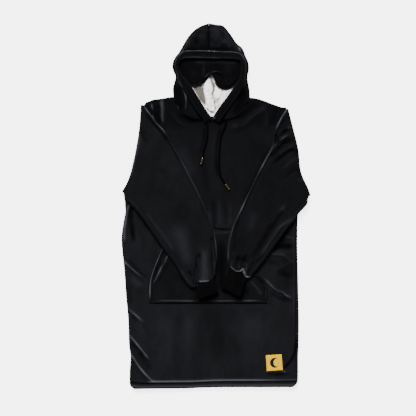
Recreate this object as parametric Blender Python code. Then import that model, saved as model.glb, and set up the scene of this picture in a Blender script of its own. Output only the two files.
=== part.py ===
"""Oversized hooded top, laid flat with its sleeves folded across the front.

The back lies on z = 0, the hood points to +Y and the front faces +Z.
Tables are in millimetres; meshes are made in metres.
"""
import math

import bpy
import numpy as np

# driving sizes, millimetres
WALL = 4.0            # pile-lined cloth
SEAM = 0.3            # gap between sewn pieces
EDGE = 5.0            # radius of a folded body edge
FRONT = 2 * EDGE      # height of the front's outer face
POCKET_CLOTH = 3.0
POCKET_LIFT = 3.4     # sleeve clearance above the pocket
SIDE_WRAP = 18.0      # the back turns this far onto the front at the left seam
HEM_STRIP = 24.0
SLEEVE_GAP = 1.0      # air between a sleeve's two layers
CUFF_WALL = 2.6
RIB_HEIGHT = 0.9
RIBS_ROUND = 22
CUFF_TUCK = 4.0       # the cuff is this much narrower at each side than the gathered sleeve
CASING_THICK = 9.0
NECK_LAP = 3.0        # the hood laps this far over the front at the neck
LINING = 3.0
MASK_THICK = 6.4
CORD_DIAMETER = 6.0
AGLET_LENGTH = 26.0
AGLET_DIAMETER = 7.0
PATCH_SIDE = 60.0
PATCH_THICK = 1.2

# body outline: y, left edge x, right edge x
BODY_SIDES = [
    (-692, -325, 308), (-620, -325, 309), (-568, -322, 309), (-522, -328, 311),
    (-430, -331, 312), (-340, -339, 310), (-240, -346, 308), (-165, -354, 306),
    (-112, -356, 306), (-59, -349, 307), (-22, -342, 311), (2, -342, 324),
    (21, -342, 336), (42, -343, 345), (61, -343, 345), (93, -328, 329),
    (137, -316, 316), (184, -305, 309), (243, -293, 301), (304, -285, 282),
    (345, -281, 273), (367, -279, 269), (380, -276, 262), (393, -268, 255),
]
# hem line: x, y
HEM_LINE = [(-330, -687), (-282, -692), (-213, -690), (-92, -688), (15, -684), (262, -685), (312, -682)]
# shoulders and the front's neck edge: x, y
FRONT_TOP = [
    (-270, 391), (-250, 401), (-212, 406), (-172, 412), (-160, 405), (-151, 388), (-134, 361),
    (-99, 340), (-42, 331), (15, 331), (72, 342), (102, 369), (117, 389), (127, 405),
    (137, 409), (168, 404), (206, 390), (244, 375), (258, 372),
]
BACK_TOP = [
    (-270, 391), (-250, 401), (-212, 406), (-172, 412), (-160, 403), (125, 403),
    (137, 409), (168, 404), (206, 390), (244, 375), (258, 372),
]

# sleeve stations, shoulder to wrist: fold nearer the neck x, y; fold nearer the hem x, y
RIGHT_SLEEVE = [
    (-284, 380, -353, 55), (-236, 325, -343, 34), (-189, 272, -301, -17), (-122, 142, -251, -86),
    (-65, 21, -202, -156), (-27, -66, -160, -215), (-4, -127, -126, -270), (4, -192, -99, -304),
    (-1, -260, -76, -303),
]
LEFT_SLEEVE = [
    (276, 367, 356, 40), (231, 298, 345, 11), (214, 234, 307, -34), (174, 158, 258, -97),
    (121, 48, 212, -162), (68, -59, 174, -215), (45, -131, 144, -251), (41, -188, 127, -270),
    (47, -228, 115, -274),
]
# the folded edge over each armhole: share of the way down, inward bow
RIGHT_BOW = [(0, 0), (0.25, 8), (0.5, 15), (0.75, 11), (0.9, 5), (1, 0)]
LEFT_BOW = [(0, 0), (0.25, 2), (0.5, 4), (0.75, 9), (0.9, 6), (1, 0)]
# start of a sleeve: upper layer inset, height share, lower layer inset
SLEEVE_START = [(0, 0.06, 6), (0, 0.6, 6.5), (1.4, 0.88, 7), (5, 1, 8), (10, 1, 11)]

# hood, crown to neck: silhouette x, y; panel edge x, y; casing inner edge x, y;
# panel edge height; silhouette fold height; crown swell
RIGHT_HOOD = [
    (-28, 692, -22, 590, -22, 562, 24, 15, 9), (-58, 684, -50, 591, -50, 563, 24, 15, 9),
    (-81, 669, -77, 591, -75, 564, 24, 15, 8), (-105, 642, -101, 591, -97, 564, 24, 15, 6),
    (-126, 607, -120, 589, -113, 564, 24, 15, 2), (-140, 586, -134, 579, -123, 559, 23, 15, 0),
    (-157, 564, -148, 562, -130, 551, 22, 14, 0), (-163, 538, -154, 540, -134, 534, 21, 14, 0),
    (-160, 515, -151, 517, -132, 515, 21, 14, 0), (-154, 494, -144, 492, -125, 496, 21, 13, 0),
    (-156, 469, -138, 462, -115, 479, 20, 13, 0), (-160, 450, -124, 437, -101, 460, 18, 12, 1),
    (-160, 431, -100, 398, -74, 417, 16, 12, 2), (-159, 418, -74, 356, -47, 375, 14.8, 13, 1),
    (-157, 411, -52, 333, -21, 340, 14.4, 14.4, 0),
]
LEFT_HOOD = [
    (-28, 692, -21, 590, -21, 562, 24, 15, 9), (-1, 690, 5, 589, 5, 562, 24, 15, 9),
    (24, 682, 32, 587, 32, 562, 24, 15, 8), (51, 654, 55, 587, 55, 561, 24, 15, 6),
    (74, 621, 72, 585, 72, 560, 24, 15, 2), (96, 599, 88, 581, 83, 556, 23, 15, 0),
    (110, 568, 101, 566, 90, 549, 22, 14, 0), (120, 543, 110, 543, 94, 532, 21, 14, 0),
    (121, 517, 112, 519, 94, 513, 21, 14, 0), (117, 492, 108, 492, 87, 492, 21, 13, 0),
    (120, 466, 102, 462, 78, 475, 20, 13, 0), (122, 446, 92, 435, 66, 454, 18, 12, 1),
    (123, 428, 66, 395, 39, 414, 16, 12, 2), (124, 418, 40, 356, 12, 374, 14.8, 13, 1),
    (122, 411, 23, 333, -12, 339, 14.4, 14.4, 0),
]
# centre seam under the hood, crown to nape: x, y
NAPE_SEAM = [(-28, 648), (-25, 560), (-22, 480), (-20, 403)]
# casing past the neck seam: outer x, y; inner x, y
RIGHT_CASING_END = (-47, 316, -20, 332)
LEFT_CASING_END = (13, 316, -14, 333)
# casing underside height: hood row, height
CASING_UNDER = [(0, 15.4), (6, 15.4), (9, 14.6), (11, 12), (13, 10.6), (14, 10.4), (15, 10.4)]

# sleep mask's lower edge: x, y
MASK_EDGE = [
    (-133, 530), (-129, 508), (-120, 490), (-107, 470), (-94, 459), (-82, 455), (-68, 457), (-55, 464),
    (-38, 481), (-26, 497), (-17, 502), (-8, 492), (3, 466), (11, 456), (24, 448), (37, 445),
    (50, 448), (62, 455), (76, 472), (84, 490), (91, 510), (93, 530),
]
MASK_TOP = 560.0
# visible lining: y, left x, right x
LINING_SIDES = [(336, -20, -13), (352, -33, 2), (376, -50, 16), (415, -77, 42), (455, -104, 68), (482, -120, 80)]

# pocket outline: y, left x, right x
POCKET_SIDES = [
    (-367, -252, 194), (-300, -252, 193), (-288, -248, 189), (-241, -229, 150), (-154, -194, 136), (-92, -170, 124),
]

# soft folds of the front: x1, y1, x2, y2, height, half width
FRONT_FOLDS = [
    (-344, -205, -262, -282, 4.5, 20), (-322, -395, -290, -450, 4.0, 18),
    (-322, -495, -262, -585, 4.5, 20), (-318, -565, -250, -640, 3.5, 16),
    (130, -262, 280, -345, 4.0, 20), (302, -545, 258, -625, 4.0, 20),
    (-202, 385, -199, 335, 3.5, 12),
    (66, 300, 114, 338, 4.0, 11), (120, 344, 176, 384, 4.0, 11),
]
# sleeve folds: share along, share across, length share, width share, height
RIGHT_SLEEVE_FOLDS = [
    (0.16, 0.12, 0.16, 0.10, 3.0), (0.45, 0.30, 0.35, 0.16, 2.0), (0.62, 0.72, 0.30, 0.14, 2.5),
    (0.93, 0.18, 0.10, 0.09, 5.0), (0.93, 0.50, 0.10, 0.13, 4.0), (0.94, 0.82, 0.08, 0.10, 4.5),
]
LEFT_SLEEVE_FOLDS = [
    (0.20, 0.10, 0.18, 0.10, 4.0), (0.30, 0.45, 0.16, 0.14, 3.0), (0.58, 0.30, 0.32, 0.15, 2.5),
    (0.93, 0.20, 0.08, 0.09, 4.0), (0.93, 0.50, 0.08, 0.12, 4.5), (0.94, 0.80, 0.07, 0.10, 4.5),
]

# wrist ends of the cuffs: fold nearer the neck x, y; fold nearer the hem x, y
RIGHT_CUFF_END = (8, -325, -65, -351)
LEFT_CUFF_END = (20, -306, 92, -344)

# cord routes from the casing: x, y
RIGHT_CORD = [(-34, 316), (-33, 298), (-34, 268), (-39, 241), (-46, 215), (-52, 186)]
LEFT_CORD = [
    (38, 326), (34, 306), (24, 283), (17, 256), (13, 222), (11, 184), (11, 150), (15, 124), (23, 103), (35, 85),
]
PATCH_CENTRE = (220.0, -592.0)
PATCH_TURN = 4.0

# cloth and metal colours, sRGB 0-255; roughness; metallic
BLACK_PILE = ((32, 30, 32), 0.92, 0.0)
BLACK_RIB = ((17, 17, 18), 0.95, 0.0)
WHITE_PILE = ((226, 222, 216), 0.95, 0.0)
BLACK_CORD = ((24, 23, 25), 0.85, 0.0)
BRASS = ((168, 124, 66), 0.32, 1.0)
YELLOW_TWILL = ((226, 176, 38), 0.85, 0.0)


def clear_scene():
    for thing in list(bpy.data.objects):
        bpy.data.objects.remove(thing, do_unlink=True)


def linear(value):
    share = value / 255.0
    if share <= 0.04045:
        return share / 12.92
    return ((share + 0.055) / 1.055) ** 2.4


def material(name, look):
    colour, roughness, metallic = look
    made = bpy.data.materials.new(name)
    made.use_nodes = True
    shader = made.node_tree.nodes["Principled BSDF"]
    rgb = [linear(c) for c in colour]
    shader.inputs["Base Color"].default_value = (*rgb, 1.0)
    shader.inputs["Roughness"].default_value = roughness
    shader.inputs["Metallic"].default_value = metallic
    made.diffuse_color = (*rgb, 1.0)
    return made


def read(table, at, column):
    """Value of a table's column where its first column is `at`, straight between rows."""
    data = np.array(table, float)
    return float(np.interp(at, data[:, 0], data[:, column]))


def smooth_rows(table, count):
    """The table re-read at `count` even places along a smooth curve through its rows."""
    data = np.array(table, float)
    padded = np.vstack([2 * data[0] - data[1], data, 2 * data[-1] - data[-2]])
    rows = []
    for place in np.linspace(0, len(data) - 1, count):
        i = min(int(place), len(data) - 2)
        t = place - i
        a, b, c, d = padded[i:i + 4]
        rows.append(0.5 * (2 * b + (c - a) * t + (2 * a - 5 * b + 4 * c - d) * t ** 2
                           + (3 * b - a - 3 * c + d) * t ** 3))
    return np.array(rows)


def ease(value):
    value = min(1.0, max(0.0, value))
    return value * value * (3 - 2 * value)


def add_object(name, points, faces, look, smooth=True):
    mesh = bpy.data.meshes.new(name)
    mesh.from_pydata([tuple(c * 0.001 for c in p) for p in points], [], faces)
    mesh.validate()
    mesh.update()
    made = bpy.data.objects.new(name, mesh)
    bpy.context.scene.collection.objects.link(made)
    mesh.materials.append(look)
    if smooth:
        mesh.shade_smooth()
        mesh.set_sharp_from_angle(angle=math.radians(50))
    return made


def wall_sheet(name, outer, inner, look):
    """Closed cloth wall between two grids of the same size."""
    rows, columns = len(outer), len(outer[0])
    points = [p for row in outer for p in row] + [p for row in inner for p in row]
    base = rows * columns
    faces = []
    for r in range(rows - 1):
        for c in range(columns - 1):
            a = r * columns + c
            faces.append((a, a + 1, a + columns + 1, a + columns))
            faces.append((base + a, base + a + columns, base + a + columns + 1, base + a + 1))
    rim = [c for c in range(columns)]
    rim += [r * columns + columns - 1 for r in range(1, rows)]
    rim += [(rows - 1) * columns + c for c in range(columns - 2, -1, -1)]
    rim += [r * columns for r in range(rows - 2, 0, -1)]
    for k, a in enumerate(rim):
        b = rim[(k + 1) % len(rim)]
        faces.append((a, base + a, base + b, b))
    return outward(add_object(name, points, faces, look))


def wall_tube(name, outer, inner, look):
    """Closed cloth tube, open at both ends, between two stacks of rings."""
    rings, round_count = len(outer), len(outer[0])
    points = [p for ring in outer for p in ring] + [p for ring in inner for p in ring]
    base = rings * round_count
    faces = []
    for r in range(rings - 1):
        for c in range(round_count):
            a = r * round_count + c
            b = r * round_count + (c + 1) % round_count
            faces.append((a, b, b + round_count, a + round_count))
            faces.append((base + a, base + a + round_count, base + b + round_count, base + b))
    for first, flip in ((0, False), ((rings - 1) * round_count, True)):
        for c in range(round_count):
            a = first + c
            b = first + (c + 1) % round_count
            face = (a, base + a, base + b, b)
            faces.append(tuple(reversed(face)) if flip else face)
    return outward(add_object(name, points, faces, look))


def outward(made):
    """Turns every face outward if the solid came out inside out."""
    mesh = made.data
    mesh.calc_loop_triangles()
    volume = 0.0
    for tri in mesh.loop_triangles:
        a, b, c = (mesh.vertices[i].co for i in tri.vertices)
        volume += a.dot(b.cross(c))
    if volume < 0:
        mesh.flip_normals()
    return made


def pocket_share(x, y):
    """1 over the pocket, easing to 0 around it."""
    low, high = POCKET_SIDES[0][0], POCKET_SIDES[-1][0]
    left = read(POCKET_SIDES, y, 1)
    right = read(POCKET_SIDES, y, 2)
    away = max(left - x, x - right, low - y, y - high)
    return 1 - ease((away - 26) / 22)


def front_height(x, y):
    """Outer face of the front: folds and the turned hem."""
    height = FRONT
    for x1, y1, x2, y2, rise, half in FRONT_FOLDS:
        dx, dy = x2 - x1, y2 - y1
        length = math.hypot(dx, dy)
        t = ((x - x1) * dx + (y - y1) * dy) / length ** 2
        off = ((x - x1) * dy - (y - y1) * dx) / length
        if -0.3 < t < 1.3:
            ends = ease((t + 0.3) / 0.5) * ease((1.3 - t) / 0.5)
            height += rise * ends * math.exp(-(off / half) ** 2)
    height = FRONT + (height - FRONT) * (1 - pocket_share(x, y))
    above_hem = y - read(HEM_LINE, x, 1)
    height += 1.6 * (1 - ease((above_hem - HEM_STRIP) / 8))
    return height


def top_of(table, x):
    return read(table, x, 1)


def armhole_fold(table, bow_table, side, y):
    """x of a sleeve's outer fold where it turns over the armhole edge."""
    neck_x, neck_y, hem_x, hem_y = table[0]
    share = (neck_y - y) / (neck_y - hem_y)
    if share < 0 or share > 1:
        return None
    return neck_x + (hem_x - neck_x) * share + side * read(bow_table, share, 1)


def sides_at(y):
    """Left and right body edges; beside a sleeve they stop one wall short of its fold."""
    left, right = read(BODY_SIDES, y, 1), read(BODY_SIDES, y, 2)
    fold = armhole_fold(RIGHT_SLEEVE, RIGHT_BOW, 1, y)
    if fold is not None:
        left = max(left, fold + WALL + 2 * SEAM)
    fold = armhole_fold(LEFT_SLEEVE, LEFT_BOW, -1, y)
    if fold is not None:
        right = min(right, fold - WALL - 2 * SEAM)
    return left, right


ARC = [math.radians(a) for a in (0, 30, 60, 90)]


def body_rows(count):
    """Shares of the way from hem to shoulder, close together at the hem strip."""
    low = [0, 6 / 1080, 19 / 1080, 25 / 1080, 33 / 1080]
    return low + list(np.linspace(62 / 1080, 0.97, count)) + [0.987]


def body_point(table, x_share, share, seam_side):
    """Plan place of a body point: share across, share up."""
    left, right = sides_at(385)
    top = top_of(table, left + (right - left) * x_share)
    y = read(HEM_LINE, left + (right - left) * x_share, 1) * (1 - share) + top * share
    left, right = sides_at(y)
    return left, right - seam_side, y


def front_body(look):
    shares = [0.035, 0.075, 0.115, 0.15, 0.185, 0.207, 0.225, 0.258, 0.29, 0.324, 0.378, 0.432, 0.486, 0.54,
              0.594, 0.648, 0.68, 0.705, 0.733, 0.752, 0.771, 0.8, 0.83, 0.866, 0.902, 0.94, 0.972, 1.0]
    columns = [("arc", a) for a in ARC] + [("flat", s) for s in shares]
    rows = [(s, math.pi / 2) for s in body_rows(15)] + [(None, a) for a in (ARC[3], ARC[2], ARC[1], ARC[0])]
    outer, inner = [], []
    low = EDGE + SEAM / 2
    for share, turn in rows:
        out_row, in_row = [], []
        for kind, value in columns:
            across = 0.0 if kind == "arc" else value
            neck = ease((across - 0.19) / 0.02) * (1 - ease((across - 0.755) / 0.02))
            drop_out = EDGE * (1 - math.cos(turn)) * (1 - neck)
            drop_in = (EDGE - (EDGE - WALL) * math.cos(turn)) * (1 - neck) if share is None else 0.0
            lift = 1.0 if share is not None else math.sin(turn) + (1 - math.sin(turn)) * neck
            left, right, y = body_point(FRONT_TOP, across, 1.0 if share is None else share, 0)
            y_out, y_in = y, y
            if share is None:
                y_out = y - drop_out
                y_in = y - drop_in
                if neck > 0.999:
                    y_out = y - 4.0 * (1 - math.cos(turn))
                    y_in = y_out
            left, right = sides_at(y_out)
            wrap = 7 + (SIDE_WRAP - 7) * (1 - ease((y_out + 60) / 40))
            end = right - wrap - SEAM
            if kind == "arc":
                x_out = left + EDGE * (1 - math.cos(value))
                x_in = left + EDGE - (EDGE - WALL) * math.cos(value)
                level = math.sin(value) * lift
            else:
                x_out = left + EDGE + (end - left - EDGE) * value
                x_in = x_out
                level = lift
            top = front_height(x_out, y_out)
            out_row.append((x_out, y_out, low + (top - low) * level))
            in_row.append((x_in, y_in, low + (top - WALL - low) * level))
        outer.append(out_row)
        inner.append(in_row)
    return wall_sheet("front_body", outer, inner, look)


def back_body(look):
    shares = [0.0, 0.1, 0.19, 0.2175, 0.36, 0.56, 0.7465, 0.773, 0.88, 1.0]
    columns = [("left", a) for a in ARC[:3]] + [("flat", s) for s in shares]
    columns += [("right", a) for a in (ARC[2], ARC[1], ARC[0])]
    columns += [("up", a) for a in (ARC[1], ARC[2], ARC[3])] + [("wrap", 0.5), ("wrap", 1.0)]
    rows = [(s, math.pi / 2) for s in body_rows(15)] + [(None, a) for a in (ARC[3], ARC[2], ARC[1], ARC[0])]
    outer, inner = [], []
    low = EDGE - SEAM / 2
    for share, turn in rows:
        out_row, in_row = [], []
        for kind, value in columns:
            across = {"left": 0.0, "flat": value}.get(kind, 1.0)
            open_end = ease((across - 0.2) / 0.03) * (1 - ease((across - 0.72) / 0.03)) + ease((across - 0.93) / 0.05)
            open_end = min(1.0, open_end)
            left, right, y = body_point(BACK_TOP, across, 1.0 if share is None else share, 0)
            y_out, y_in, lift = y, y, 1.0
            if share is None:
                y_out = y - EDGE * (1 - math.cos(turn))
                y_in = y_out
                if open_end < 0.5:
                    y_in = y - EDGE + (EDGE - WALL) * math.cos(turn)
                    lift = math.sin(turn)
            left, right = sides_at(y_out)
            wrap = 7 + (SIDE_WRAP - 7) * (1 - ease((y_out + 60) / 40))
            top = front_height(right - EDGE - 1, y_out)
            if kind == "left":
                x_out = left + EDGE * (1 - math.cos(value))
                x_in = left + EDGE - (EDGE - WALL) * math.cos(value)
                z_out = low * (1 - math.sin(value) * lift)
                z_in = low - (low - WALL) * math.sin(value) * lift
            elif kind == "flat":
                x_out = left + EDGE + (right - left - 2 * EDGE) * value
                x_in = x_out
                z_out = low * (1 - lift)
                z_in = low - (low - WALL) * lift
            elif kind == "right":
                x_out = right - EDGE * (1 - math.cos(value))
                x_in = right - EDGE + (EDGE - WALL) * math.cos(value)
                z_out = EDGE * (1 - math.sin(value))
                z_in = EDGE - (EDGE - WALL) * math.sin(value)
            elif kind == "up":
                x_out = right - EDGE * (1 - math.cos(value))
                x_in = right - EDGE + (EDGE - WALL) * math.cos(value)
                z_out = EDGE + (top - EDGE) * math.sin(value)
                z_in = EDGE + (top - EDGE - WALL) * math.sin(value)
            else:
                x_out = right - EDGE - (wrap - EDGE) * value
                x_in = x_out
                z_out = front_height(x_out, y_out)
                z_in = z_out - WALL
            out_row.append((x_out, y_out, z_out))
            in_row.append((x_in, y_in, z_in))
        outer.append(out_row)
        inner.append(in_row)
    return wall_sheet("back_body", outer, inner, look)


def pocket(look):
    ups = [0.0, 0.012, 0.15, 0.235, 0.36, 0.5, 0.65, 0.8, 0.985, 1.0]
    acrosses = [0.0, 0.008, 0.03, 0.09, 0.2, 0.4, 0.6, 0.8, 0.91, 0.97, 0.992, 1.0]
    low, high = POCKET_SIDES[0][0], POCKET_SIDES[-1][0]
    outer, inner = [], []
    for up in ups:
        y = low + (high - low) * up
        left, right = read(POCKET_SIDES, y, 1), read(POCKET_SIDES, y, 2)
        out_row, in_row = [], []
        for across in acrosses:
            x = left + (right - left) * across
            floor = front_height(x, y)
            near = min(across, 1 - across) * (right - left)
            lip = 2.2 * math.exp(-((near - 8) / 14) ** 2) * math.exp(-((y + 262) / 34) ** 2)
            if across > 0.5:
                lip *= 0.2
            rim = min(near, (y - low), (high - y))
            thick = 1.4 + (POCKET_CLOTH - 1.4) * ease(rim / 3)
            out_row.append((x, y, floor + SEAM + thick + lip))
            in_row.append((x, y, floor + SEAM + lip * 0.8))
        outer.append(out_row)
        inner.append(in_row)
    return wall_sheet("kangaroo_pocket", outer, inner, look)


def ring_places():
    """Places round a flattened tube: layer, share across or turn of the fold."""
    places = [("low", s) for s in (0.0, 0.09, 0.18, 0.28, 0.39, 0.5, 0.61, 0.72, 0.82, 0.91, 1.0)]
    places += [("hem", a) for a in (45, 90, 135)]
    places += [("up", s) for s in (1.0, 0.91, 0.82, 0.72, 0.61, 0.5, 0.39, 0.28, 0.18, 0.09, 0.0)]
    places += [("neck", a) for a in (135, 90, 45)]
    return places


def sleeve_floor(share):
    return FRONT + 0.5 + (POCKET_LIFT + 0.3) * ease((share - 0.05) / 0.45)


def fold_rise(folds, along, across):
    rise = 0.0
    for a, c, length, width, height in folds:
        rise += height * math.exp(-((along - a) / length) ** 2 - ((across - c) / width) ** 2)
    return rise * ease(along / 0.06) * ease(across / 0.05) * ease((1 - across) / 0.05)


def sleeve(name, table, bow_table, folds, side, look):
    """A tube folded across the front; its start turns down over the armhole edge."""
    stations = [(0.0, row) for row in SLEEVE_START]
    stations += [(s, None) for s in (0.1, 0.2, 0.31, 0.43, 0.55, 0.67, 0.78, 0.86, 0.91, 0.955, 1.0)]
    fine = smooth_rows(table, 201)
    outer, inner = [], []
    half = WALL + SLEEVE_GAP / 2
    for along, start in stations:
        neck_x, neck_y, hem_x, hem_y = fine[int(round(along * 200))]
        across_x, across_y = hem_x - neck_x, hem_y - neck_y
        width = math.hypot(across_x, across_y)
        unit = (across_x / width, across_y / width)
        inward = (-unit[1] * side, unit[0] * side)
        floor = sleeve_floor(along)
        top = floor + 2 * half
        end_gather = 1 + 0.5 * ease((along - 0.86) / 0.1)
        upper_in, upper_share, lower_in = start if start else (0.0, 1.0, 0.0)
        out_ring, in_ring = [], []
        for layer, value in ring_places():
            if layer in ("low", "up"):
                across = value
            else:
                across = 1.0 if layer == "hem" else 0.0
            turn = math.radians(value) if layer in ("hem", "neck") else 0.0
            sign = 1 if layer == "hem" else -1
            bow = read(bow_table, across, 1) * (1 - ease(along / 0.12)) * side
            lower_share = {"low": 1.0, "up": 0.0}.get(layer, 0.5 + 0.5 * math.cos(turn))
            slide = lower_in * lower_share + upper_in * (1 - lower_share)
            if not start:
                slide = 11 * (1 - ease(along / 0.3))
            inset = half
            place = inset + (width - 2 * inset) * across
            for radius, ring in ((half, out_ring), (half - WALL, in_ring)):
                reach = sign * radius * math.sin(turn)
                px = neck_x + unit[0] * (place + reach) + inward[0] * slide + bow
                py = neck_y + unit[1] * (place + reach) + inward[1] * slide
                rise = 0.0
                if layer == "low":
                    z = floor + half - radius
                elif layer == "up":
                    rise = fold_rise(folds, along, across) * end_gather
                    z = floor + half + radius + rise
                else:
                    z = floor + half - radius * math.cos(turn)
                if start and layer != "low":
                    share = 1 - (1 - upper_share) * (1 - lower_share)
                    z = z * share
                    if radius < half:
                        shift = WALL * (1 - lower_share) * (1 - ease((upper_share - 0.85) / 0.15))
                        px += inward[0] * shift
                        py += inward[1] * shift
                ring.append((px, py, z))
        outer.append(out_ring)
        inner.append(in_ring)
    return wall_tube(name, outer, inner, look)


def cuff(name, start, end, look):
    """2x2 rib cuff: ribs stand up from the outside, the inside is plain."""
    per_rib = 4
    count = RIBS_ROUND * per_rib
    outer, inner = [], []
    floor = sleeve_floor(1.0)
    for along in (0.0, 0.5, 1.0):
        ax = start[0] + (end[0] - start[0]) * along
        ay = start[1] + (end[1] - start[1]) * along
        bx = start[2] + (end[2] - start[2]) * along
        by = start[3] + (end[3] - start[3]) * along
        width = math.hypot(bx - ax, by - ay)
        ux, uy = (bx - ax) / width, (by - ay) / width
        tall = 5.2 + 0.5 * math.sin(math.pi * along)
        straight = width - 2 * tall
        length = 2 * straight + 2 * math.pi * tall
        out_ring, in_ring = [], []
        for k in range(count):
            place = length * k / count
            raised = RIB_HEIGHT if k % per_rib in (1, 2) else 0.0
            soft = 1.0 if 0.01 < along < 0.99 else 0.8
            for ring, off in ((out_ring, raised * soft), (in_ring, -CUFF_WALL)):
                if place < straight:
                    across, height = tall + place, -(tall + off)
                elif place < straight + math.pi * tall:
                    a = (place - straight) / tall
                    across = width - tall + (tall + off) * math.sin(a)
                    height = -(tall + off) * math.cos(a)
                elif place < 2 * straight + math.pi * tall:
                    across = width - tall - (place - straight - math.pi * tall)
                    height = tall + off
                else:
                    a = (place - 2 * straight - math.pi * tall) / tall
                    across = tall - (tall + off) * math.sin(a)
                    height = (tall + off) * math.cos(a)
                z = floor + tall + RIB_HEIGHT + height
                ring.append((ax + ux * across, ay + uy * across, z))
        outer.append(out_ring)
        inner.append(in_ring)
    return wall_tube(name, outer, inner, look)


def cuff_start(table, away):
    """Wrist end of the sleeve, moved on along the sleeve by a seam gap."""
    x1, y1, x2, y2 = table[-1]
    width = math.hypot(x2 - x1, y2 - y1)
    nx, ny = (y2 - y1) / width, -(x2 - x1) / width
    if ny > 0:
        nx, ny = -nx, -ny
    ux, uy = (x2 - x1) / width * CUFF_TUCK, (y2 - y1) / width * CUFF_TUCK
    return x1 + nx * away + ux, y1 + ny * away + uy, x2 + nx * away - ux, y2 + ny * away - uy


HOOD_RAYS = 22


def hood_panel(name, table, side, look):
    """Rays from the face opening over the folded edge and back under to the centre seam."""
    rows = smooth_rows(table, HOOD_RAYS)
    nape = smooth_rows(NAPE_SEAM, HOOD_RAYS)
    seam = side * SEAM / 2
    outer, inner = [], []
    for k, (ex, ey, fx, fy, _ix, _iy, z_face, z_edge, swell) in enumerate(rows):
        share = k / (HOOD_RAYS - 1)
        first = ease(1 - share * 12)
        ex += seam * first
        cx, cy = nape[k][0] + seam, nape[k][1] + (SEAM if k == HOOD_RAYS - 1 else 0)
        radius = z_edge / 2
        span = math.hypot(ex - fx, ey - fy)
        dx, dy = (ex - fx) / span, (ey - fy) / span
        back = math.hypot(cx - ex, cy - ey)
        ux, uy = (cx - ex) / back, (cy - ey) / back
        neck = 1.0 if k == HOOD_RAYS - 1 else 0.0
        out_row, in_row = [], []
        for s in (0.0, 0.22, 0.46, 0.72, 1.0):
            reach = (span - radius) * s
            px, py = fx + dx * reach, fy + dy * reach
            if neck and s < 1:
                py = top_of(FRONT_TOP, px) - NECK_LAP
            z = z_face + (z_edge - z_face) * ease(s) + swell * math.sin(math.pi * s)
            out_row.append((px, py, z))
            in_row.append((px, py, z - WALL))
        for degrees in (35, 70, 105, 140):
            a = math.radians(degrees)
            for ring, r in ((out_row, radius), (in_row, max(0.4, radius - WALL))):
                out = r * math.sin(a)
                blend = degrees / 180
                hx = dx * (1 - blend) - ux * blend
                hy = dy * (1 - blend) - uy * blend
                norm = math.hypot(hx, hy)
                px = ex - dx * radius + hx / norm * out
                py = ey - dy * radius + hy / norm * out
                ring.append((px, py, radius + r * math.cos(a)))
        for s in (0.0, 0.3, 0.65, 1.0):
            px = ex - dx * radius + (cx - ex + dx * radius) * s
            py = ey - dy * radius + (cy - ey + dy * radius) * s
            if neck and s > 0:
                py = top_of(BACK_TOP, px) + 2 * SEAM
            out_row.append((px, py, 0.0))
            in_row.append((px, py, WALL))
        outer.append(out_row)
        inner.append(in_row)
    return wall_sheet(name, outer, inner, look)


def hood_casing(name, table, end, side, look):
    """Rounded band along the face opening, running past the neck seam onto the front."""
    rows = [tuple(row[2:6]) for row in smooth_rows(table, HOOD_RAYS)]
    rows += [tuple((a + b) / 2 for a, b in zip(rows[-1], end)), end]
    rings = []
    for k, (ox, oy, ix, iy) in enumerate(rows):
        place = min(14 * k / (HOOD_RAYS - 1), 14 + (k - HOOD_RAYS + 1) / 2)
        under = read(CASING_UNDER, place, 1)
        width = math.hypot(ox - ix, oy - iy)
        ux, uy = (ox - ix) / width, (oy - iy) / width
        ox, oy = ox - ux * 2 * SEAM, oy - uy * 2 * SEAM
        if k == 0:
            ox += side * SEAM / 2
            ix += side * SEAM / 2
        thick = CASING_THICK if place < 13 else 7.6
        ring = []
        for across, up in ((0, 0.3), (0, 0.7), (0.16, 0.95), (0.45, 1), (0.78, 0.93), (1, 0.66),
                           (1, 0.3), (0.84, 0.02), (0.16, 0.02)):
            ring.append((ix + (ox - ix) * across, iy + (oy - iy) * across, under + thick * up))
        rings.append(ring)
    points = [p for ring in rings for p in ring]
    count = len(rings[0])
    faces = [tuple(range(count)), tuple(reversed(range(len(points) - count, len(points))))]
    for r in range(len(rings) - 1):
        for c in range(count):
            a, b = r * count + c, r * count + (c + 1) % count
            faces.append((a, a + count, b + count, b))
    return outward(add_object(name, points, faces, look))


def lining(name, side, look):
    """One half of the visible lining, meeting the other at the centre seam."""
    outer, inner = [], []
    for row in smooth_rows(LINING_SIDES, 10):
        y, left, right = row
        centre = -17 - 3 * ease((y - 340) / 120)
        out_row, in_row = [], []
        edge = left if side < 0 else right
        for s in (0.0, 0.15, 0.35, 0.55, 0.75, 0.9, 1.0):
            x = centre + side * SEAM / 2 + (edge - centre) * s
            fold = 1.6 * math.sin(math.pi * s) * ease((455 - y) / 40) * ease((y - 336) / 20)
            dip = 0.9 * (1 - ease(s / 0.15)) + 0.8 * ease((s - 0.85) / 0.15)
            out_row.append((x, y, WALL + SEAM + LINING - dip + fold))
            in_row.append((x, y, WALL + SEAM))
        outer.append(out_row)
        inner.append(in_row)
    return wall_sheet(name, outer, inner, look)


def eye_mask(look):
    floor = WALL + SEAM + LINING + 0.6
    columns = smooth_rows(MASK_EDGE, 27)
    outer, inner = [], []
    for up in (0.0, 0.05, 0.16, 0.5, 0.84, 1.0):
        out_row, in_row = [], []
        for k, (x, low) in enumerate(columns):
            y = low + (MASK_TOP - low) * up
            side = min(k, len(columns) - 1 - k)
            rim = min(ease(up / 0.16), ease(side / 2.2), ease((1 - up) / 0.2) * 0.5 + 0.5)
            out_row.append((x, y, floor + 2.4 + (MASK_THICK - 2.4) * rim))
            in_row.append((x, y, floor + 1.0 * (1 - rim)))
        outer.append(out_row)
        inner.append(in_row)
    return wall_sheet("eye_mask", outer, inner, look)


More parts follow.
